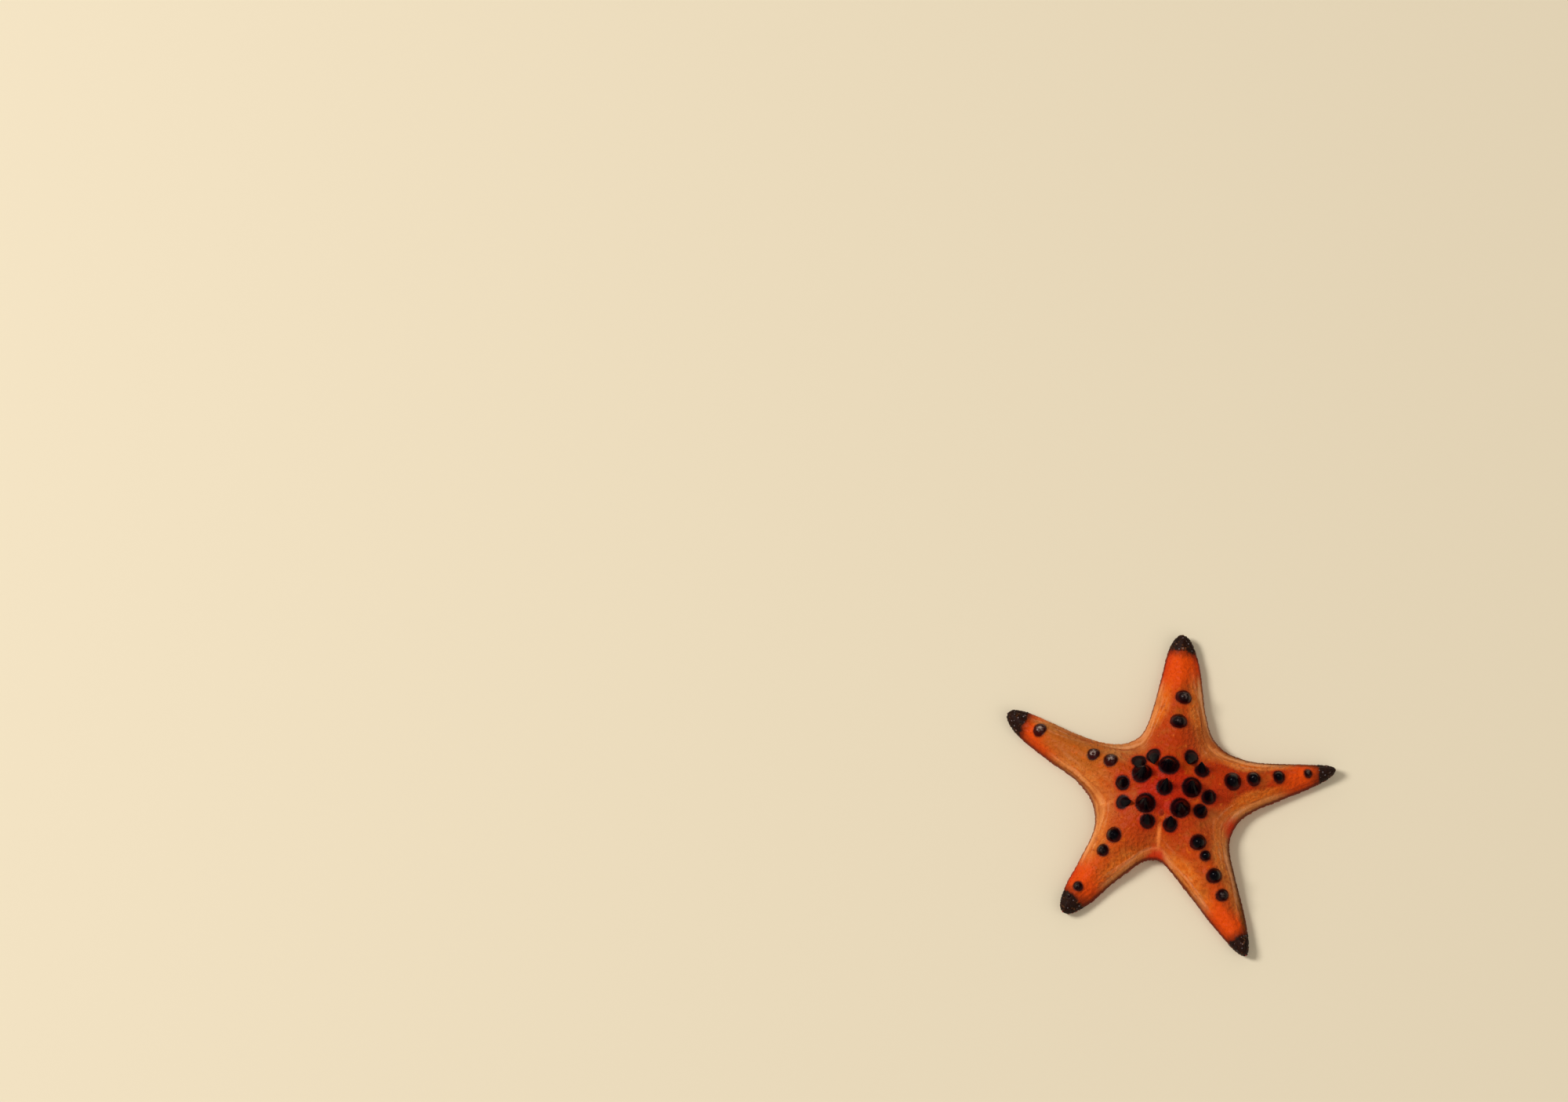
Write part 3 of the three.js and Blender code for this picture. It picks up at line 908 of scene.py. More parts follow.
    def smooth_form(self) -> tuple[Shape, SkinFields]:
        """The skin without relief: ten fans joined to a ring, anticlockwise.

        Returns:
            The welded shape with its map, and its points' places.
        """
        fans = []
        for arm in ARMS:
            sides = ArmSide(self.form, arm, -1), ArmSide(self.form, arm, 1)
            ridge = self.rib_places(sides)
            right, left = (self.fan(side, ridge) for side in sides)
            fans += [right, {name: grid[::-1][1:-1] for name, grid in left.items()}]
        grids = {name: np.concatenate([fan[name] for fan in fans]) for name in fans[0]}
        rows, columns = grids["out"].shape
        faces = grid_faces(rows, columns)
        maps = [grids.pop(name).reshape(-1, 2)[faces] for name in ("above_map", "below_map")]
        reach = max(np.abs(half).max() for half in maps)
        sheets = [half / reach * HALF_SHEET + [centre, 0.5] for half, centre in zip(maps, (0.25, 0.75))]
        is_above = (faces[:, 0] % columns) < self.top_steps + self.tuck_steps
        corner_map = np.where(is_above[:, None, None], *sheets)
        points = grids.pop("points").reshape(-1, 3)
        values = {name: grid.ravel() for name, grid in grids.items()}
        shape = Shape(points, faces, corner_map, values).welded()
        fields = SkinFields(**shape.values)
        fields.arm, fields.sign = fields.arm.astype(int), fields.sign.astype(int)
        return shape, fields

    def surface_at(self, x: float, y: float) -> tuple[Floats, Floats]:
        """The smooth skin's upper side over a place in plan: a mean of the points near it.

        Args:
            x: place in plan.
            y: place in plan.

        Returns:
            The point over x, y, and the unit normal there.
        """
        points = self.base.points
        away = np.hypot(points[:, 0] - x, points[:, 1] - y)
        weight = bell(away, 1.0) * (self.fields.rim > 0)
        height = (weight @ points[:, 2]) / weight.sum()
        normal = weight @ self.base_normals
        return np.array([x, y, height]), normal / np.linalg.norm(normal)

    def per_arm(self, name: str) -> Floats:
        """An arm's own number, or numbers, of a name at each point of the skin."""
        return np.array([getattr(arm, name) for arm in ARMS], float)[self.fields.arm]

    def by_side(self, name: str) -> Floats:
        """An arm's number for its right or its left, whichever side a point is on.

        Args:
            name: an Arm field whose first numbers are those of the right and the left.

        Returns:
            One number for each point, the mean of both sides on the ridge and of both arms at a notch.
        """
        fields = self.fields
        right, left = self.per_arm(name).T[:2]
        own = right + (left - right) * smooth_step(-0.25, 0.25, fields.sign * fields.out)
        numbers = np.array([getattr(arm, name) for arm in ARMS], float)
        facing = numbers[(fields.arm + fields.sign) % len(ARMS), np.where(fields.sign > 0, 0, 1)]
        return own + (facing - own) * bell(fields.margin_length, 14) / 2

    def at_notches(self, numbers: list[float]) -> Floats:
        """A number that belongs to the notch on each arm's left, for the points nearest that notch."""
        notch = np.where(self.fields.sign > 0, self.fields.arm, self.fields.arm - 1)
        return np.array(numbers, float)[notch]

    def tip_gap(self) -> Floats:
        """Distance along the arm from each point to the start of the black end."""
        return self.per_arm("length") - self.fields.along - self.per_arm("tip_length")

    def band_gap(self) -> Floats:
        """Distance from each point out to the marginal band, which narrows from the disc to the arm's end."""
        share = smooth_step(0.3, 1, self.fields.margin_along / self.per_arm("length"))
        return self.fields.rim - (self.band_at_root + (self.band_at_tip - self.band_at_root) * share)

    def horn_gaps(self, horns: "Horns") -> tuple[Floats, Floats, Floats]:
        """How far each point lies from the horns.

        Args:
            horns: the horns, with their places on the skin.

        Returns:
            Distance past the nearest horn's foot, that horn's radius, and its strength of central red.
        """
        gaps = []
        for horn, foot, axis in zip(horns.horns, horns.feet, horns.axes):
            apart = self.base.points - foot
            away = np.linalg.norm(apart - (apart @ axis)[:, None] * axis, axis=1)
            gaps.append(np.where(self.fields.rim > 0, away - horn.radius, FAR))
        which = np.argmin(gaps, axis=0)
        radius, central = np.array([(horn.radius, horn.central) for horn in horns.horns])[which].T
        return np.min(gaps, axis=0), radius, central

    def relief(self, gap: Floats, radius: Floats, net: Floats) -> Floats:
        """How far the skin stands out of its smooth form.

        It is the sum of soft lumps, the raised net between sunken meshes, a low boss and collar at each
        horn, and furrows along the marginal band, between its plates and along the widest line.

        Args:
            gap: distance past the nearest horn's foot.
            radius: that horn's radius.
            net: 0 on the net's strands, 1 in its meshes.

        Returns:
            Millimetres along the normals.
        """
        rim, band_gap = self.fields.rim, self.band_gap()
        above = smooth_step(0, 3, rim)
        not_below = 1 - smooth_step(0.3, 1, self.fields.under)
        lumps = self.lump_height * not_below * SpaceNoise(11).lumps(self.base.points, self.lump_size)
        net_share = above * (0.35 + 0.65 * smooth_step(-0.5, 1.5, band_gap))
        net_share *= smooth_step(-1, 3, self.tip_gap()) * smooth_step(0.4, 2.5, gap)
        mesh = self.net_height * net_share * (0.5 - net)
        furrow = self.furrow_depth * above * bell(band_gap, 0.9)
        plate = self.fields.margin_length / self.plate_length
        cut = smooth_step(1, -0.5, band_gap) * bell((plate - np.round(plate)) * self.plate_length, 0.7)
        plates = self.plate_depth * not_below * (cut + bell(rim, 0.9))
        swell = self.boss_height * np.exp(-np.maximum(gap, 0) / (0.7 * radius))
        collar = self.collar_height * bell(gap - 0.7, 0.7)
        return lumps + mesh - furrow - plates + swell + collar

    def build(self, horns: "Horns") -> list[bpy.types.Object]:
        """The finished skin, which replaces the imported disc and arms.

        Args:
            horns: the horns, round which the skin rises.

        Returns:
            The skin's object.
        """
        gap, radius, central = self.horn_gaps(horns)
        nearest, second, _ = SpaceNoise(5).cells(self.base.points, self.net_size)
        net = smooth_step(0.02, 0.4, second - nearest)
        points = self.base.points + self.relief(gap, radius, net)[:, None] * self.base_normals
        points[:, 2] = np.maximum(points[:, 2], self.sole_gap)
        values = self.markings() | {"horn_gap": gap, "central": central, "net": net}
        self.finished = Shape(points, self.base.faces, self.base.corner_map, values)
        self.material = SkinFinish().make()
        skin = make_piece("skin", self.finished, self.material)
        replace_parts(skin, "disc", *(f"arm_{arm.name}" for arm in ARMS))
        return [skin]

    def markings(self) -> dict[str, Floats]:
        """The numbers that the skin's finish turns to colours.

        Returns:
            Arrays by name: distances in millimetres, or strengths from 0 to 1.
        """
        fields = self.fields
        out, along, margin_length = fields.out, fields.along, fields.margin_length
        plan, bearing = polar(self.base.points)
        near_notch = bell(margin_length, 11)
        notch_pale = self.at_notches([arm.pale[2] for arm in ARMS])
        seam_line = np.abs(plan * np.sin(bearing - self.at_notches([notch_azimuth(arm) for arm in ARMS])))
        seam = self.at_notches([arm.seam for arm in ARMS]) * smooth_step(22, 30, plan)
        notch_red = self.at_notches([arm.notch_red for arm in ARMS])
        flow = stacked(fields.margin_along / 7, fields.rim, 50 * fields.arm + 9 * fields.sign)
        widening = 0.45 * smooth_step(62, 36, plan)
        ridge = smooth_step(0.6 + widening, 0.2 + widening, out) * smooth_step(20, 34, plan)
        mid_arm = smooth_step(38, 58, along) * smooth_step(104, 88, along)
        return {
            "rim": fields.rim,
            "band_gap": self.band_gap(),
            "tip_gap": self.tip_gap(),
            "outer": smooth_step(-22, 16, along - self.by_side("vivid_from")),
            "pale": self.by_side("pale") * (1 - near_notch) + notch_pale * near_notch,
            "olive": self.by_side("olive") * smooth_step(22, 42, plan) * smooth_step(0.15, 0.5, out),
            # painted shade along each side's edge, by the arm's strength for that side
            "edge": self.by_side("edge"),
            "ridge": self.per_arm("ridge_red") * ridge * (1 - bell(margin_length, 12)),
            "notch_red": notch_red * bell(margin_length, 9) * bell(fields.rim - 3, 9),
            "middle": smooth_step(27, 13, plan),
            "disc": smooth_step(56, 32, plan),
            "dull": self.per_arm("dull") * mid_arm * smooth_step(0.85, 0.3, fields.sign * out),
            "seam": seam * smooth_step(2.2, 0.5, seam_line),
            "streak": 0.6 * SpaceNoise(12).lumps(flow, 2.4) + 0.4 * SpaceNoise(13).lumps(flow, 1.2),
        }


@dataclass(frozen=True)
class SkinFinish:
    """Wet, granular sea-star skin: satin, with a thin film of water that catches the light."""

    inner: str = "#d4620d"
    outer: str = "#d04503"
    olive: str = "#bd8d4c"
    rust: str = "#94360a"
    umber: str = "#a65617"
    russet: str = "#a93904"
    amber: str = "#d68539"
    pale: str = "#d98a45"
    blush: str = "#e8a679"
    # painted shade along the edges of the arms' upper side
    edge: str = "#5f3104"
    furrow: str = "#7f300c"
    ridge: str = "#aa2e03"
    red: str = "#ac1e02"
    scorch: str = "#551704"
    notch: str = "#bc2604"
    # near black round the horns' feet: partly a real dark stain, partly painted shade
    stain_and_painted_shade: str = "#1a0203"
    # margin: painted shade at and just under the widest line
    margin: str = "#76200a"
    # a painted shadow: a dark line along the arms' widest line
    brim: str = "#561406"
    seam: str = "#dc7634"
    under: str = "#b27a48"
    black: str = "#210b04"
    granule: float = 0.9  # mm between the skin's fine granules, coarser than life so that they show

    def make(self) -> bpy.types.Material:
        """Lays the markings and the painted shade over each other by the skin's own values, their edges
        broken by noise.

        Returns:
            The material.
        """
        finish = Finish("wet_granular_skin", fine=(1.2, 3), middling=(4, 4), broad=(13, 3))
        finish.name(
            on_top=("rim", -1, 1.5),
            off_tip=("tip_gap", -0.5, 1.5),
            vivid=("outer", 0.1, 0.9, "middling", 0.4),
            calm=("outer", 0.9, 0.2),
            calm_top=["calm", "on_top"],
            in_band=[("band_gap", 2, -2, "middling", 5), "calm_top", "pale"],
            from_band=finish.add("Math", {0: finish.factor("band_gap")}, operation="ABSOLUTE"),
        )
        layers = [
            (self.amber, ("middling", 0.45, 0.7), 0.5),
            (self.russet, "disc", ("middling", 0.2, 0.48), 0.9),
            (self.olive, "olive", ("broad", 0.2, 0.55), 0.85),
            (self.ridge, "ridge", ("middling", 0.2, 0.42)),
            (self.outer, "vivid"),
            (self.notch, "vivid", ("rim", 10, 1, "broad", 6), 0.6),
            (self.rust, ("middling", 0.5, 0.36), ("broad", 0.4, 0.6), ("vivid", 1, 0.3), 0.6),
            (self.rust, ("fine", 0.52, 0.75), 0.3),
            (self.rust, "net", ("vivid", 1, 0), 0.22),
            (self.umber, "dull", ("middling", 0.2, 0.5)),
            (self.seam, "seam"),
            (self.umber, ("broad", 0.5, 0.72), ("vivid", 1, 0.2), 0.5),
            (self.pale, "in_band"),
            (self.blush, "in_band", ("streak", -0.3, 0.4), 0.55),
            (self.rust, "calm_top", ("band_gap", 7, 1, "middling", 3), ("streak", -0.05, -0.5), 0.55),
            (self.blush, "calm_top", ("band_gap", 12, 4, "middling", 3),
             ("streak", 0.1, 0.6, "middling", 0.4), 0.22),
            # painted shade near the edge of the upper side, as strong as each side's edge
            (self.edge, ("rim", 9, 2, "middling", 3), "on_top", "edge"),
            (self.furrow, ("from_band", 1, 0.2, "middling", 1.6), "calm", "pale",
             ("broad", 0.35, 0.55), 0.75),
            (self.notch, ("notch_red", 0.05, 0.95, "middling", 0.8), 0.9),
            (self.red, ("middle", 0.35, 1, "middling", 1.6), 0.9),
            (self.red, ("horn_gap", 5, 1), ("central", 0.2, 0.8), 0.6),
            # near black round the horns' feet, widest at the disc's horns: partly real stain, partly painted
            # shade
            (self.stain_and_painted_shade, ("horn_gap", 2.05, 0.05, "central", -0.9, "fine", 1.2)),
            # painted shade round the widest line, where the side turns under
            (self.margin, ("rim", 1, 0, "fine", 0.8), ("rim", -2.6, -1.2), "off_tip"),
            # painted shadow along the widest line, standing for the shadow at the arms' edges
            (self.brim, ("rim", 4, 1.6, "fine", 1.6), ("rim", -1.6, -0.6), "off_tip", ("olive", 1, 0), 0.8),
            (self.under, ("rim", -4, -11, "middling", 3)),
            (self.scorch, ("tip_gap", 8, 0, "middling", 4), 0.75),
            (self.black, ("tip_gap", 1.6, -0.8, "middling", 5)),
        ]
        cells = {"Vector": finish.place, "Scale": 1 / (self.granule * MM)}
        beads = finish.add("TexVoronoi", cells, out="Distance", feature="SMOOTH_F1")
        bump = finish.add("Bump", {"Strength": 0.5, "Distance": 0.3 * MM, "Height": beads}, invert=True)
        satin = {"Roughness": 0.5, "IOR": 1.38, "Specular IOR Level": 0.12, "Normal": bump}
        return finish.surface(self.inner, layers, satin)


# -------- horns


@dataclass
class Horns:
    """All the horns as one piece of many joined shapes: round cones with blunt tips. Millimetres."""

    skin: Skin
    sides: int = 36
    steps: int = 26
    root: float = 3.0  # length sunk in the skin
    flare: float = 0.16  # share by which the foot spreads
    flare_height: float = 0.12  # of the horn's height
    blunt: float = 0.18  # share of the dome in a cone
    bend: float = 0.6  # most that a tip strays by chance
    lump: float = 0.12
    lump_size: float = 2.4
    square: float = 0.75  # how far a horn stands square on the skin rather than upright

    def __post_init__(self) -> None:
        """Stands each horn on the smooth skin, between upright and square on it."""
        self.horns = horns_of_the_animal(self.skin.form)
        self.feet, normals = (np.array(v) for v in zip(*(self.skin.surface_at(h.x, h.y) for h in self.horns)))
        axes = np.array([0.0, 0.0, 1.0]) * (1 - self.square) + normals * self.square
        self.axes = axes / np.linalg.norm(axes, axis=1, keepdims=True)

    def shape_of(self, horn: Horn, foot: Floats, axis: Floats, drift: Floats) -> Shape:
        """One horn: its breadth falls as a circle's quarter, or as a line where its cone number is 1.

        Its slices slide sideways, evenly with their height, until the tip leans as the horn says.

        Args:
            horn: its size.
            foot: where its axis meets the skin.
            axis: its unit direction.
            drift: how far its tip strays, in the horn's own X and Y.

        Returns:
            The horn's shape with its values.
        """
        angle = math.pi / 2 * np.linspace(0, 1, self.steps)
        height, rounded = np.sin(angle), np.cos(angle)
        cone = (1 - self.blunt) * (1 - height) + self.blunt * rounded
        breadth = horn.radius * (rounded + (cone - rounded) * horn.cone)
        breadth *= 1 + self.flare * np.exp(-height / self.flare_height)
        breadth[-1] = 0
        breadths = np.concatenate([[0, breadth[0], breadth[0]], breadth])
        heights = np.concatenate([[-self.root, -self.root, -self.root / 2], height * horn.height])
        shape = lathe(breadths, heights, self.sides)
        share = np.clip(shape.points[:, 2] / horn.height, 0, 1)
        shape.points[:, :2] += drift * share[:, None] ** 2
        shape = shape.repeated(foot[None], axis[None])
        if horn.lean is not None:
            shape.points[:, :2] += (np.array(horn.lean) - axis[:2]) * horn.height * share[:, None]
        lumps = SpaceNoise(31).lumps(shape.points, self.lump_size)
        shape.points += self.lump * lumps[:, None] * shape.normals()
        shape.values = {"rise": share, "worn": 0 * share + horn.worn, "central": 0 * share + horn.central}
        return shape

    def build(self) -> list[bpy.types.Object]:
        """The horns' object, which stays a piece of its own on the skin.

        Returns:
            The object.
        """
        drifts = np.random.default_rng(41).uniform(-self.bend, self.bend, (len(self.horns), 2))
        shapes = [self.shape_of(*horn) for horn in zip(self.horns, self.feet, self.axes, drifts)]
        return [make_piece("horns", joined(shapes), HornFinish().make())]


@dataclass(frozen=True)
class HornFinish:
    """Bare horn: near black, dark red where the skin climbs its foot, pale tops: wear and painted highlight.
    """

    black: str = "#040206"
    foot: str = "#3a0705"
    # worn: the pale top of worn horns, partly real wear and partly a painted highlight
    worn: str = "#938077"
    ring: str = "#3d110c"

    def make(self) -> bpy.types.Material:
        """Grades the colour up the horn and breaks it with noise.

        Returns:
            The material.
        """
        finish = Finish("wet_horn", grain=(1.3, 3), blotch=(1.7, 2))
        layers = [
            (self.ring, "worn", 0.7),
            (self.foot, ("rise", 0.42, 0, "grain", 0.3, "central", 0.3)),
            # pale top on worn horns: partly real wear, partly a painted highlight
            (self.worn, ("rise", 0.76, 1.2, "blotch", 1.2), "worn"),
        ]
        bump = finish.add("Bump", {"Strength": 0.3, "Distance": 0.15 * MM, "Height": finish.factor("grain")})
        gloss = {"Roughness": 0.22, "IOR": 1.45, "Specular IOR Level": 0.07, "Normal": bump}
        return finish.surface(self.black, layers, gloss)


# -------- granules


@dataclass
class Granules:
    """Low round granules that stud the strands of the skin's net. Millimetres."""

    skin: Skin
    spacing: float = 1.35
    radius: float = 0.4
    height: float = 0.26
    sizes: tuple[float, float] = (0.55, 1.2)  # least and most, as shares
    strand: float = 0.8  # of the net's value, above which no granules grow
    tip_gap: float = 0.5  # kept free before the black end
    horn_gap: float = 0.6
    lowest_rim: float = -1.0  # length of skin under the widest line, as a negative number

    def build(self) -> list[bpy.types.Object]:
        """Stands a granule where a strand passes nearest to each of many scattered sites.

        Each takes the skin's own markings where it stands, and shares the skin's finish.

        Returns:
            One object for each arm's part of the skin.
        """
        skin, values = self.skin, self.skin.finished.values
        bare = (values["tip_gap"] > self.tip_gap) & (values["horn_gap"] > self.horn_gap)
        bare &= values["rim"] > self.lowest_rim
        chosen = np.flatnonzero(bare & (values["net"] < self.strand))
        chosen = chosen[SpaceNoise(65).one_to_a_site(skin.finished.points[chosen], self.spacing)]
        granule = dome(steps=3, sides=6, foot=0.95, depth=0.4)
        pieces = []
        for i, arm in enumerate(ARMS):
            mine = chosen[skin.fields.arm[chosen] == i]
            size = np.random.default_rng(66 + i).uniform(*self.sizes, (len(mine), 1))
            scales = size * [self.radius, self.radius, self.height]
            shape = granule.repeated(skin.finished.points[mine], skin.base_normals[mine], scales)
            host = mine[shape.values["copy"].astype(int)]
            shape.values = {name: numbers[host] for name, numbers in values.items()}
            shape.values["net"] *= 0
            pieces.append(make_piece(f"granules_{arm.name}", shape, skin.material))
        return pieces


@dataclass
class SolePavement:
    """Flat granules that pave the underside in rows along the feeding grooves. Millimetres.

    Those of one plate share a tint, and are broadest in the plate's middle.
    """

    skin: Skin
    spacing: float = 1.5
    radius: float = 0.86
    height: float = 0.5
    plate_size: float = 5.5
    start: float = -3.4  # past the widest line, as a length of skin above it
    groove_gap: float = 0.9
    short_of_end: float = 2.5
    stray: tuple[float, ...] = (0.5, 0.3, 0.0)  # of the granules' sites
    plate_stray: tuple[float, ...] = (0.4, 0.4, 0.0)
    reach: float = 0.25  # how near its site a granule stands, as a share of the spacing
    unevenness: float = 0.08  # of the flats on the floor
    tints: int = 9973
    cuts: tuple[int, int] = (3, 10)  # of a skin face, round the animal and along a rib

    def build(self) -> list[bpy.types.Object]:
        """Cuts the skin's lower faces fine, and stands a granule where they pass nearest to each site.

        Returns:
            One object for each arm's part of the sole.
        """
        skin, fields = self.skin, self.skin.fields
        corners = skin.finished.faces
        corners = corners[(fields.rim[corners] < self.start).all(axis=1)]
        across, down = ((np.arange(count) + 0.5) / count for count in self.cuts)
        a, b = (part.ravel()[:, None] for part in np.meshgrid(across, down, indexing="ij"))
        weights = np.concatenate([(1 - a) * (1 - b), (1 - a) * b, a * b, a * (1 - b)], axis=1)
        points = np.einsum("fcx,wc->fwx", skin.finished.points[corners], weights).reshape(-1, 3)
        host = np.repeat(corners[:, 0], len(weights))
        granule = dome(steps=4, sides=7, foot=1.0, depth=0.4, powers=(0.8, 1))
        material, pieces = PavementFinish().make(), []
        for i, arm in enumerate(ARMS):
            mine = np.flatnonzero(fields.arm[host] == i)
            rows, free = self.in_rows(arm, points[mine])
            rows, mine = rows[free], mine[free]
            chosen = SpaceNoise(67).one_to_a_site(rows, self.spacing, self.reach, self.stray)
            rows[:, 2] = self.plate_size / 2
            to_middle, _, plate = SpaceNoise(68).cells(rows[chosen], self.plate_size, self.plate_stray)
            rng = np.random.default_rng(90 + i)
            size = (1.08 - 0.5 * smooth_step(0.2, 0.75, to_middle))[:, None]
            scales = size * [[self.radius, self.radius, self.height]]
            scales *= rng.uniform(0.88, 1.12, (len(chosen), 3))
            chosen = mine[chosen]
            shape = granule.repeated(points[chosen], skin.base_normals[host[chosen]], scales)
            copy = shape.values.pop("copy").astype(int)
            flats = rng.uniform(0, self.unevenness, len(chosen))
            shape.points[:, 2] = np.maximum(shape.points[:, 2], flats[copy])
            tint = np.random.default_rng(69).random(self.tints)[plate % self.tints]
            shape.values["tone"] = (0.65 * tint + 0.35 * rng.random(len(chosen)))[copy]
            shape.values["rim"] = fields.rim[host[chosen]][copy]
            pieces.append(make_piece(f"sole_{arm.name}", shape, material))
        return pieces

    def in_rows(self, arm: Arm, points: Floats) -> tuple[Floats, Floats]:
        """Points of the sole in an arm's straight frame, so that sites can lie in rows along its groove.

        Args:
            arm: the arm.
            points: places on the sole.

        Returns:
            (along, aside, half a spacing) for each point, and whether a granule may stand there.
        """
        form = self.skin.form
        turn = math.radians(arm.azimuth)
        along = points[:, 0] * math.cos(turn) + points[:, 1] * math.sin(turn)
        aside = points[:, 1] * math.cos(turn) - points[:, 0] * math.sin(turn) - form.bend(arm, along)
        lip = form.lip(arm, np.clip(along, 0, arm.length)) + self.groove_gap
        free = (np.abs(aside) > lip) & (along < arm.length - self.short_of_end)
        return stacked(along, aside, self.spacing / 2), free


@dataclass(frozen=True)
class PavementFinish:
    """Granules of the sole: chalky cream under thin skin, some flushed with orange."""

    cream: str = "#e3bf8e"
    orange: str = "#cf8146"
    joint: str = "#a5673a"
    wall: str = "#b0562a"
    # margin: painted shade on the granules nearest the widest line
    margin: str = "#83300f"

    def make(self) -> bpy.types.Material:
        """Tints granules by their tone, darkens their joints, and paints shade on those near the margin.

        Returns:
            The material.
        """
        finish = Finish("sole_granules", grain=(9, 3), fine=(0.4, 2))
        layers = [
            (self.orange, ("tone", 0.2, 0.9, "grain", 1.4)),
            (self.joint, ("rise", 0.75, 0.4)),
            (self.wall, ("rim", -13, -7)),
            # painted shade on the granules near the margin, matching the skin's
            (self.margin, ("rim", -6.5, -3.5)),
        ]
        bump = finish.add("Bump", {"Strength": 0.3, "Distance": 0.1 * MM, "Height": finish.factor("fine")})
        chalky = {"Roughness": 0.6, "Specular IOR Level": 0.3, "Normal": bump}
        return finish.surface(self.cream, layers, chalky)


@dataclass
class TipBeads:
    """Coarse granules that cover the black end of each arm, domes on the skin. Millimetres."""

    skin: Skin
    spacing: float = 1.6
    reach: float = 0.42  # how near its site a bead stands, as a share of the spacing
    sink: float = 0.08
    radius: float = 0.72
    height: float = 0.36
    sizes: tuple[float, float] = (0.5, 1.25)  # least and most, as shares
    pale_share: float = 0.14
    tip_gap: float = 0.3  # before the black end
    lowest_rim: float = -2.5

    def build(self) -> list[bpy.types.Object]:
        """Stands a bead where the skin passes nearest to each of many scattered sites.

        Returns:
            The beads' object.
        """
        skin, values = self.skin, self.skin.finished.values
        chosen = np.flatnonzero((values["tip_gap"] < self.tip_gap) & (values["rim"] > self.lowest_rim))
        points = skin.finished.points
        chosen = chosen[SpaceNoise(61).one_to_a_site(points[chosen], self.spacing, self.reach)]
        normals = skin.base_normals[chosen]
        rng = np.random.default_rng(62)
        scales = rng.uniform(*self.sizes, (len(chosen), 1)) * [self.radius, self.radius, self.height]
        bead = dome(steps=5, sides=10, foot=0.9, depth=0.5)
        shape = bead.repeated(points[chosen] - self.sink * normals, normals, scales)
        tone = (rng.random(len(chosen)) < self.pale_share) * rng.uniform(0.4, 1, len(chosen))
        shape.values["tone"] = tone[shape.values.pop("copy").astype(int)]
        return [make_piece("tip_beads", shape, BeadFinish().make())]


@dataclass(frozen=True)
class BeadFinish:
    """Bare granules: brown black, with a few worn to pale lilac."""

    black: str = "#1a0802"
    brown: str = "#5c310f"
    lilac: str = "#82777a"

    def make(self) -> bpy.types.Material:
        """Browns patches of beads and pales the worn ones' tops.

        Returns:
            The material.
        """
        layers = [(self.brown, ("grain", 0.5, 0.7)), (self.lilac, ("rise", 0.55, 0.9), "tone")]
        satin = {"Roughness": 0.5, "Specular IOR Level": 0.12}
        return Finish("bare_granules", grain=(4, 2)).surface(self.black, layers, satin)


# -------- the underside


@dataclass
class TubeFeet:
    """Two rows of tube feet in each feeding groove, drawn in, with suckers at their ends. Millimetres."""

    form: BodyForm
    start: float = 9.0
    short_of_end: float = 6.0
    spacing: float = 2.5
    aside_share: float = 0.47  # of the groove's half width
    root_share: float = 0.8  # of the distance aside, where the foot leaves the roof
    root_height: float = 0.85  # of the roof's
    stray: float = 0.15  # of the sucker, aside
    lean: float = 0.5  # most that the stem leans by chance
    radius: float = 1.12
    least: float = 0.45  # share of the radius where the groove is narrow
    sides: int = 14
    clearance: float = 0.35  # under the sucker
    heights: tuple[float, ...] = (0.12, 0.11, 0.04, 0, 0.02, 0.08, 0.18, 0.28, 0.4, 0.54, 0.68, 0.82, 1)
    breadths: tuple[float, ...] = (0, 0.3, 0.55, 0.78, 0.98, 1.08, 0.95, 0.68, 0.76, 0.68, 0.76, 0.68, 0)

    def build(self) -> list[bpy.types.Object]:
        """Stems with rings of folds, each ending in a hollow sucker.

        Returns:
            One object for each arm, which replaces its packed band of feet.
        """
        form, material, pieces = self.form, FeetFinish().make(), []
        foot = lathe(np.array(self.breadths), np.array(self.heights), self.sides)
        for i, arm in enumerate(ARMS):
            rng = np.random.default_rng(70 + i)
            along = np.arange(self.start, arm.length - self.short_of_end, self.spacing)
            along = np.concatenate([along, along + self.spacing / 2])
            side = np.repeat([1.0, -1.0], len(along) // 2)
            half = form.lip(arm, along)
            aside = side * half * self.aside_share + rng.uniform(-self.stray, self.stray, len(along))
            places = form.place(arm, along, aside, self.clearance)
            roots = form.place(arm, along, self.root_share * aside, self.root_height * form.roof(arm, along))
            axes = roots - places + rng.uniform(-self.lean, self.lean, places.shape) * [1, 1, 0]
            tall = np.linalg.norm(axes, axis=1)
            radius = self.radius * np.clip(half / form.groove_half_width, self.least, 1)
            shape = foot.repeated(places, axes / tall[:, None], stacked(radius, radius, tall))
            del shape.values["copy"]
            piece = make_piece(f"feet_{arm.name}", shape, material)
            pieces.append(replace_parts(piece, f"tube_feet_{arm.name}"))
        return pieces


@dataclass(frozen=True)
class FeetFinish:
    """Wet, see-through flesh of the tube feet: pale violet stems and yellowish suckers."""

    stem: str = "#b391a6"
    fold: str = "#7d5a72"
    sucker: str = "#e2c9a4"
    cup: str = "#b98a78"

    def make(self) -> bpy.types.Material:
        """Darkens the stem with its folds and pales the sucker.

        Returns:
            The material.
        """
        stem = ("rise", 0.4, 0.6)
        layers = [(self.cup, ("rise", 0.22, 0.06)), (self.stem, stem), (self.fold, stem, "grain")]
        finish = Finish("tube_foot_flesh", grain=(0.8, 2))
        return finish.surface(self.sucker, layers, {"Roughness": 0.3, "IOR": 1.38})


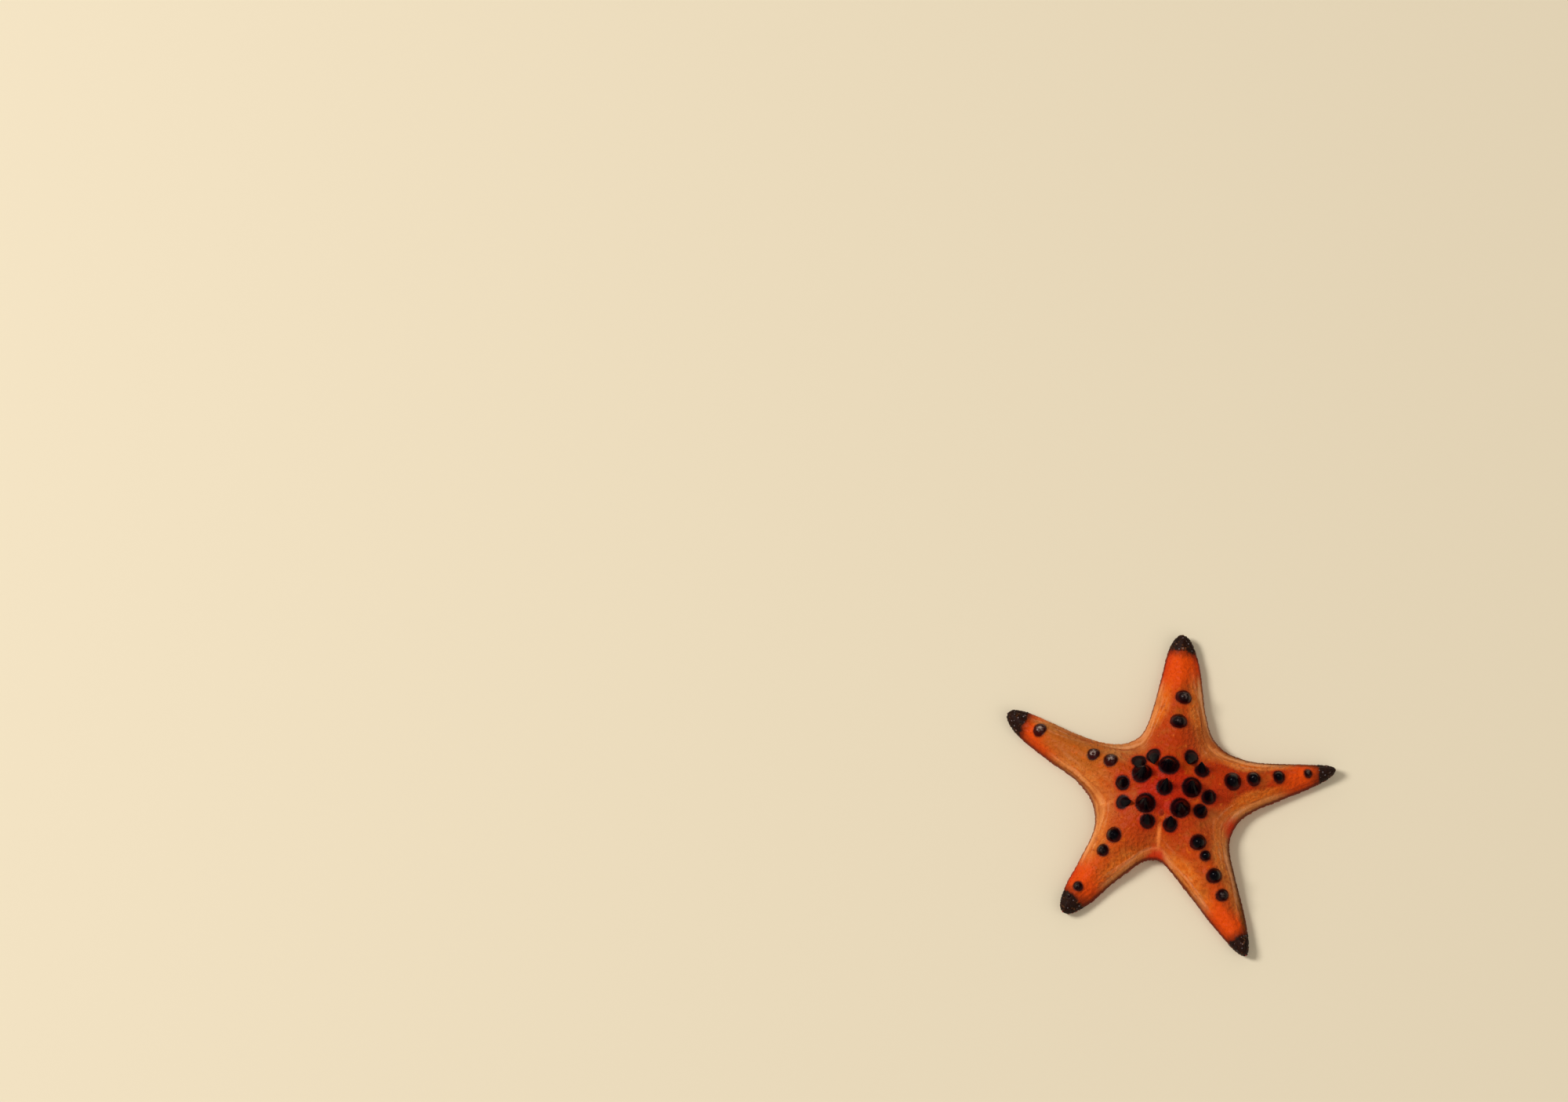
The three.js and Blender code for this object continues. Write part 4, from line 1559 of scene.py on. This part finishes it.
@dataclass(frozen=True)
class Pegs:
    """Blunt spines of one kind, a little thicker at the foot. Millimetres."""

    length: float
    radius: float
    spacing: float = 0.0
    outward: float = 0.0  # from the groove's edge to their feet
    inward: float = 1.0  # share of the unit way to the groove's middle in the way that they point
    down: float = 0.0  # share of the unit way down
    stray: float = 0.12  # most that each leans by chance

    def stood(self, places: Floats, axes: Floats, rng: np.random.Generator) -> Shape:
        """Pegs that stand on places and lean slightly at random.

        Args:
            places: where they stand.
            axes: where they point.
            rng: the random numbers' source.

        Returns:
            All pegs as one shape.
        """
        angle = np.linspace(0, math.pi / 2, 4)
        breadth = np.concatenate([[0, 1.1, 1.0], 0.92 * np.cos(angle)])
        breadth[-1] = 0
        height = np.concatenate([[-0.2, -0.2, 0.35], 0.8 + 0.2 * np.sin(angle)])
        leaned = axes + rng.uniform(-self.stray, self.stray, axes.shape)
        leaned /= np.linalg.norm(leaned, axis=1, keepdims=True)
        size = np.array([self.radius, self.radius, self.length])
        scales = size * rng.uniform(0.85, 1.1, (len(places), 1))
        shape = lathe(breadth, height, 7).repeated(places, leaned, scales)
        del shape.values["copy"]
        return shape


@dataclass
class GrooveSpines:
    """Spines on the lips of the feeding grooves and at the jaws. Millimetres."""

    form: BodyForm
    start: float = 8.5
    short_of_end: float = 5.0
    rows: tuple[Pegs, Pegs] = (
        Pegs(2.0, 0.27, spacing=0.95, outward=0.1, down=0.3),
        Pegs(1.5, 0.55, spacing=2.1, outward=1.5, inward=0.35, down=0.5),
    )
    row_rise: float = 0.05  # of the groove's edge over the sole's hollow
    row_fall: float = 0.12  # for each millimetre outward
    jaw: Pegs = Pegs(2.9, 0.42, down=0.16)
    jaw_spines: int = 6
    jaw_spread: float = 0.3  # radians to either side of the jaw
    jaw_distance: float = 6.4
    jaw_curve: float = 4.0  # added to the distance for each radian
    jaw_height: float = 1.45
    floor_gap: float = 0.05

    def lip_row(self, arm: Arm, sign: int, pegs: Pegs) -> tuple[Floats, Floats]:
        """Places along one lip of an arm's groove.

        Args:
            arm: the arm.
            sign: 1 for the left lip, -1 for the right.
            pegs: the kind of spine.

        Returns:
            The places, and the directions in which the spines point there.
        """
        along = np.arange(self.start, arm.length - self.short_of_end, pegs.spacing)
        up = self.form.sole_hollow + self.row_rise - self.row_fall * pegs.outward
        places = self.form.place(arm, along, sign * (self.form.lip(arm, along) + pegs.outward), up)
        inward = self.form.place(arm, along, 0 * along, up) - places
        inward *= pegs.inward / np.linalg.norm(inward, axis=1, keepdims=True)
        return places, inward - [0, 0, pegs.down]

    def jaws(self) -> tuple[Floats, Floats]:
        """Places and directions of the spines that point from the five jaws to the mouth.

        Returns:
            The places and the directions.
        """
        spread = np.linspace(-self.jaw_spread, self.jaw_spread, self.jaw_spines)
        angle = np.concatenate([notch_azimuth(arm) + spread for arm in ARMS])
        away = np.tile(self.jaw_distance + self.jaw_curve * np.abs(spread), len(ARMS))
        places = stacked(away * np.cos(angle), away * np.sin(angle), self.jaw_height)
        return places, stacked(-np.cos(angle), -np.sin(angle), -self.jaw.down)

    def build(self) -> list[bpy.types.Object]:
        """Stands the jaws' spines, and an inner and an outer row on each lip.

        Returns:
            The spines' object.
        """
        rng = np.random.default_rng(80)
        shapes = [self.jaw.stood(*self.jaws(), rng)]
        for arm, sign, pegs in itertools.product(ARMS, (1, -1), self.rows):
            shapes.append(pegs.stood(*self.lip_row(arm, sign, pegs), rng))
        shape = joined(shapes)
        shape.points[:, 2] = np.maximum(shape.points[:, 2], self.floor_gap)
        return [make_piece("groove_spines", shape, SpineFinish().make())]


@dataclass(frozen=True)
class SpineFinish:
    """Limestone pegs under thin skin: cream, with orange feet."""

    cream: str = "#e6cda0"
    orange: str = "#c9743c"

    def make(self) -> bpy.types.Material:
        """Grades the colour along the peg."""
        satin = {"Roughness": 0.5, "Specular IOR Level": 0.35}
        return Finish("groove_spine_skin").surface(self.cream, [(self.orange, ("rise", 0.7, 0.3))], satin)


@dataclass
class Mouth:
    """The mouth's soft membrane between the jaws, folded towards a small opening. Millimetres."""

    radius: float = 5.2
    thickness: float = 2.4
    folds: int = 15
    fold_height: float = 0.28
    breadths: tuple[float, ...] = (0, 0.06, 0.12, 0.22, 0.35, 0.5, 0.65, 0.8, 0.92, 1, 0.96, 0.6, 0)
    heights: tuple[float, ...] = (0.85, 0.8, 0.5, 0.2, 0.04, 0, 0.02, 0.1, 0.24, 0.45, 0.8, 1, 1)

    def build(self) -> list[bpy.types.Object]:
        """A cushion whose underside dips to the opening, with radial folds that fade to its rim.

        Returns:
            The membrane's object.
        """
        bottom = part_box("mouth")[0].z / MM
        profile = self.radius * np.array(self.breadths), bottom + self.thickness * np.array(self.heights)
        shape = lathe(*profile, 60)
        across, turn = polar(shape.points)
        across /= self.radius
        under = shape.points[:, 2] < bottom + self.thickness / 2
        shape.points[:, 2] += self.fold_height * np.cos(self.folds * turn) * bell(across - 0.5, 0.33) * under
        shape.values["across"] = across
        piece = make_piece("mouth_membrane", shape, MouthFinish().make())
        return [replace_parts(piece, "mouth")]


@dataclass(frozen=True)
class MouthFinish:
    """Soft wet membrane: ochre, darker towards the opening."""

    rim: str = "#d2a06c"
    throat: str = "#6e2f1c"

    def make(self) -> bpy.types.Material:
        """Grades the colour by the distance from the opening."""
        layers = [(self.throat, ("across", 0.45, 0.12))]
        return Finish("mouth_membrane").surface(self.rim, layers, {"Roughness": 0.35, "IOR": 1.38})


# -------- small organs on the skin


@dataclass
class Madreporite:
    """The sieve plate: a low button cut by winding furrows. Millimetres and degrees."""

    skin: Skin
    radius: float = 2.7
    height: float = 1.0
    sink: float = 1.2
    from_middle: float = 17.5
    azimuth: float = 263.0
    furrows: int = 19
    furrow_depth: float = 0.16
    winding: float = 7.0  # most that the noise turns a furrow's wave, in radians
    winding_size: float = 1.3

    def build(self) -> list[bpy.types.Object]:
        """A dome whose height dips by the cosine of the turn, with lumpy noise to make furrows wind.

        Returns:
            The plate's object.
        """
        shape = dome(steps=18, sides=72, foot=1.0, depth=self.sink / self.height, powers=(1, 0.8))
        shape.points *= [self.radius, self.radius, self.height]
        across, turn = polar(shape.points)
        winding = self.winding * SpaceNoise(51).lumps(shape.points, self.winding_size)
        wave = np.cos(self.furrows * turn + winding)
        off_middle = smooth_step(0.05, 0.3, across / self.radius)
        shape.points[:, 2] += self.furrow_depth * wave * off_middle * (shape.points[:, 2] > 0)
        shape.values = {"wave": wave}
        bearing = math.radians(self.azimuth)
        x, y = self.from_middle * math.cos(bearing), self.from_middle * math.sin(bearing)
        foot, normal = self.skin.surface_at(x, y)
        placed = shape.repeated(foot[None], normal[None])
        piece = make_piece("sieve_plate", placed, MadreporiteFinish().make())
        return [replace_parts(piece, "madreporite")]


@dataclass(frozen=True)
class MadreporiteFinish:
    """Porous limestone under thin skin: orange, darker in the furrows."""

    ridge: str = "#a5310f"
    furrow: str = "#6e1406"

    def make(self) -> bpy.types.Material:
        """Colours the furrows by the winding wave that cuts them."""
        satin = {"Roughness": 0.55, "Specular IOR Level": 0.1}
        return Finish("sieve_plate").surface(self.ridge, [(self.furrow, ("wave", 0.1, -0.7))], satin)


@dataclass
class Eyespots:
    """The red eye cushion at each arm's end, set with many tiny pigment cups. Millimetres."""

    size: float = 0.7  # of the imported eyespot's
    setback: float = 0.3
    steps: int = 20
    sides: int = 28

    def build(self) -> list[bpy.types.Object]:
        """A ball in each packed eyespot's box, moved in and down by a part of a millimetre.

        Returns:
            One object for each arm, which replaces its packed eyespot.
        """
        material, pieces = EyeFinish().make(), []
        angle = np.linspace(-math.pi / 2, math.pi / 2, self.steps)
        breadth = np.cos(angle)
        breadth[[0, -1]] = 0
        ball = lathe(breadth, np.sin(angle), self.sides)
        for arm in ARMS:
            low, high = (np.array(corner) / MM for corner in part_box(f"eyespot_{arm.name}"))
            bearing = math.radians(arm.azimuth)
            outward = np.array([math.cos(bearing), math.sin(bearing), 1.0])
            middle = (low + high) / 2 - disc_axis() / MM - self.setback * outward
            radius = self.size * (high - low).min() / 2
            shape = ball.repeated(middle[None], np.array([[0.0, 0.0, 1.0]]), np.full((1, 3), radius))
            piece = make_piece(f"eye_{arm.name}", shape, material)
            pieces.append(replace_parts(piece, f"eyespot_{arm.name}"))
        return pieces


@dataclass(frozen=True)
class EyeFinish:
    """Pigment cups in clear skin: deep red with darker dots."""

    red: str = "#8c1a10"
    dot: str = "#3d0604"
    dot_spacing: float = 0.3  # mm

    def make(self) -> bpy.types.Material:
        """Dots the red with cells.

        Returns:
            The material.
        """
        finish = Finish("eye_pigment")
        cells = {"Vector": finish.place, "Scale": 1 / (self.dot_spacing * MM)}
        away = finish.add("TexVoronoi", cells, out="Distance")
        return finish.surface(self.red, [(self.dot, (away, 0.45, 0.2))], {"Roughness": 0.2, "IOR": 1.38})


# -------- studio


@dataclass(frozen=True)
class Studio:
    """A plain pale floor, soft lights and the camera. Metres and degrees."""

    floor_size: float = 30.0
    floor_colour: str = "#d8cbb0"
    surround: str = "#fbf3e6"
    elevation: float = 77.0  # of the camera, seen from the animal
    field_of_view: float = 12.0  # across the frame
    frame_breadth: float = 1.111  # of floor that the frame takes in at the animal
    right: float = 0.7426  # the disc's middle in the frame, as shares of its breadth and height
    down: float = 0.7237
    frame_shape: float = 1405 / 2000  # the frame's height over its breadth

    def build(self) -> None:
        """Makes floor, lights, world and camera."""
        self.lay_floor()
        self.light("key", (-3.5, 0.8, 4.2), 1.6, 248)
        self.light("fill", (3.4, -2.4, 4.8), 5.2, 96)
        world = bpy.data.worlds.new("soft_surround")
        world.use_nodes = True
        background = world.node_tree.nodes["Background"]
        background.inputs["Color"].default_value = linear(self.surround)
        background.inputs["Strength"].default_value = 0.4
        bpy.context.scene.world = world
        bpy.context.scene.view_settings.view_transform = "Standard"
        self.aim_camera()

    def lay_floor(self) -> None:
        """One large face at the level of the sole, with a finish like fine matt plaster."""
        half = self.floor_size / 2
        corners = [(-half, -half, 0), (half, -half, 0), (half, half, 0), (-half, half, 0)]
        mesh = bpy.data.meshes.new("floor")
        mesh.from_pydata(corners, [], [(0, 1, 2, 3)])
        mesh.materials.append(Finish("matt_plaster_floor").surface(self.floor_colour, [], {"Roughness": 0.9}))
        shown("floor", mesh)

    def light(self, name: str, place: tuple[float, float, float], size: float, power: float) -> None:
        """A square soft light that looks at the animal.

        Args:
            name: its name.
            place: where it hangs.
            size: its side.
            power: in watts.
        """
        lamp = bpy.data.lights.new(name, "AREA")
        lamp.size, lamp.energy = size, power
        holder = shown(name, lamp)
        holder.location = place
        holder.rotation_euler = (-Vector(place)).to_track_quat("-Z", "Y").to_euler()

    def aim_camera(self) -> None:
        """Sets the camera so that the disc's middle falls on its place in the frame.

        It looks straight at the animal first, then turns left and up by the angles that move the animal
        to the right and down in the frame.
        """
        camera = shown("camera", bpy.data.cameras.new("camera"))
        bpy.context.scene.camera = camera
        camera.data.angle = math.radians(self.field_of_view)
        half_breadth = math.tan(math.radians(self.field_of_view) / 2)
        right = (2 * self.right - 1) * half_breadth
        down = (2 * self.down - 1) * half_breadth * self.frame_shape
        distance = self.frame_breadth / (2 * half_breadth) * math.sqrt(1 + right**2 + down**2)
        tilt = math.radians(self.elevation)
        back = Vector((0, -math.cos(tilt), math.sin(tilt)))
        straight = Matrix.Rotation(math.pi / 2 - tilt, 4, "X")
        turn = Matrix.Rotation(math.atan(right), 4, "Y") @ Matrix.Rotation(math.atan(down), 4, "X")
        camera.matrix_world = Matrix.Translation(Vector(disc_axis()) + back * distance) @ straight @ turn
        camera.data.clip_end = 100


def main() -> None:
    """Builds the animal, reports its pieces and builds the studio."""
    logging.basicConfig(level=logging.INFO, format="%(name)s: %(message)s")
    form = BodyForm()
    skin = Skin(form)
    horns = Horns(skin)
    pieces = skin.build(horns) + horns.build()
    on_skin = (Granules(skin), SolePavement(skin), TipBeads(skin))
    for part in (*on_skin, TubeFeet(form), GrooveSpines(form), Mouth(), Madreporite(skin), Eyespots()):
        pieces += part.build()
    for piece in pieces:
        log.info("%s: %d points, %d faces", piece.name, len(piece.data.vertices), len(piece.data.polygons))
    Studio().build()


if __name__ == "__main__":
    main()
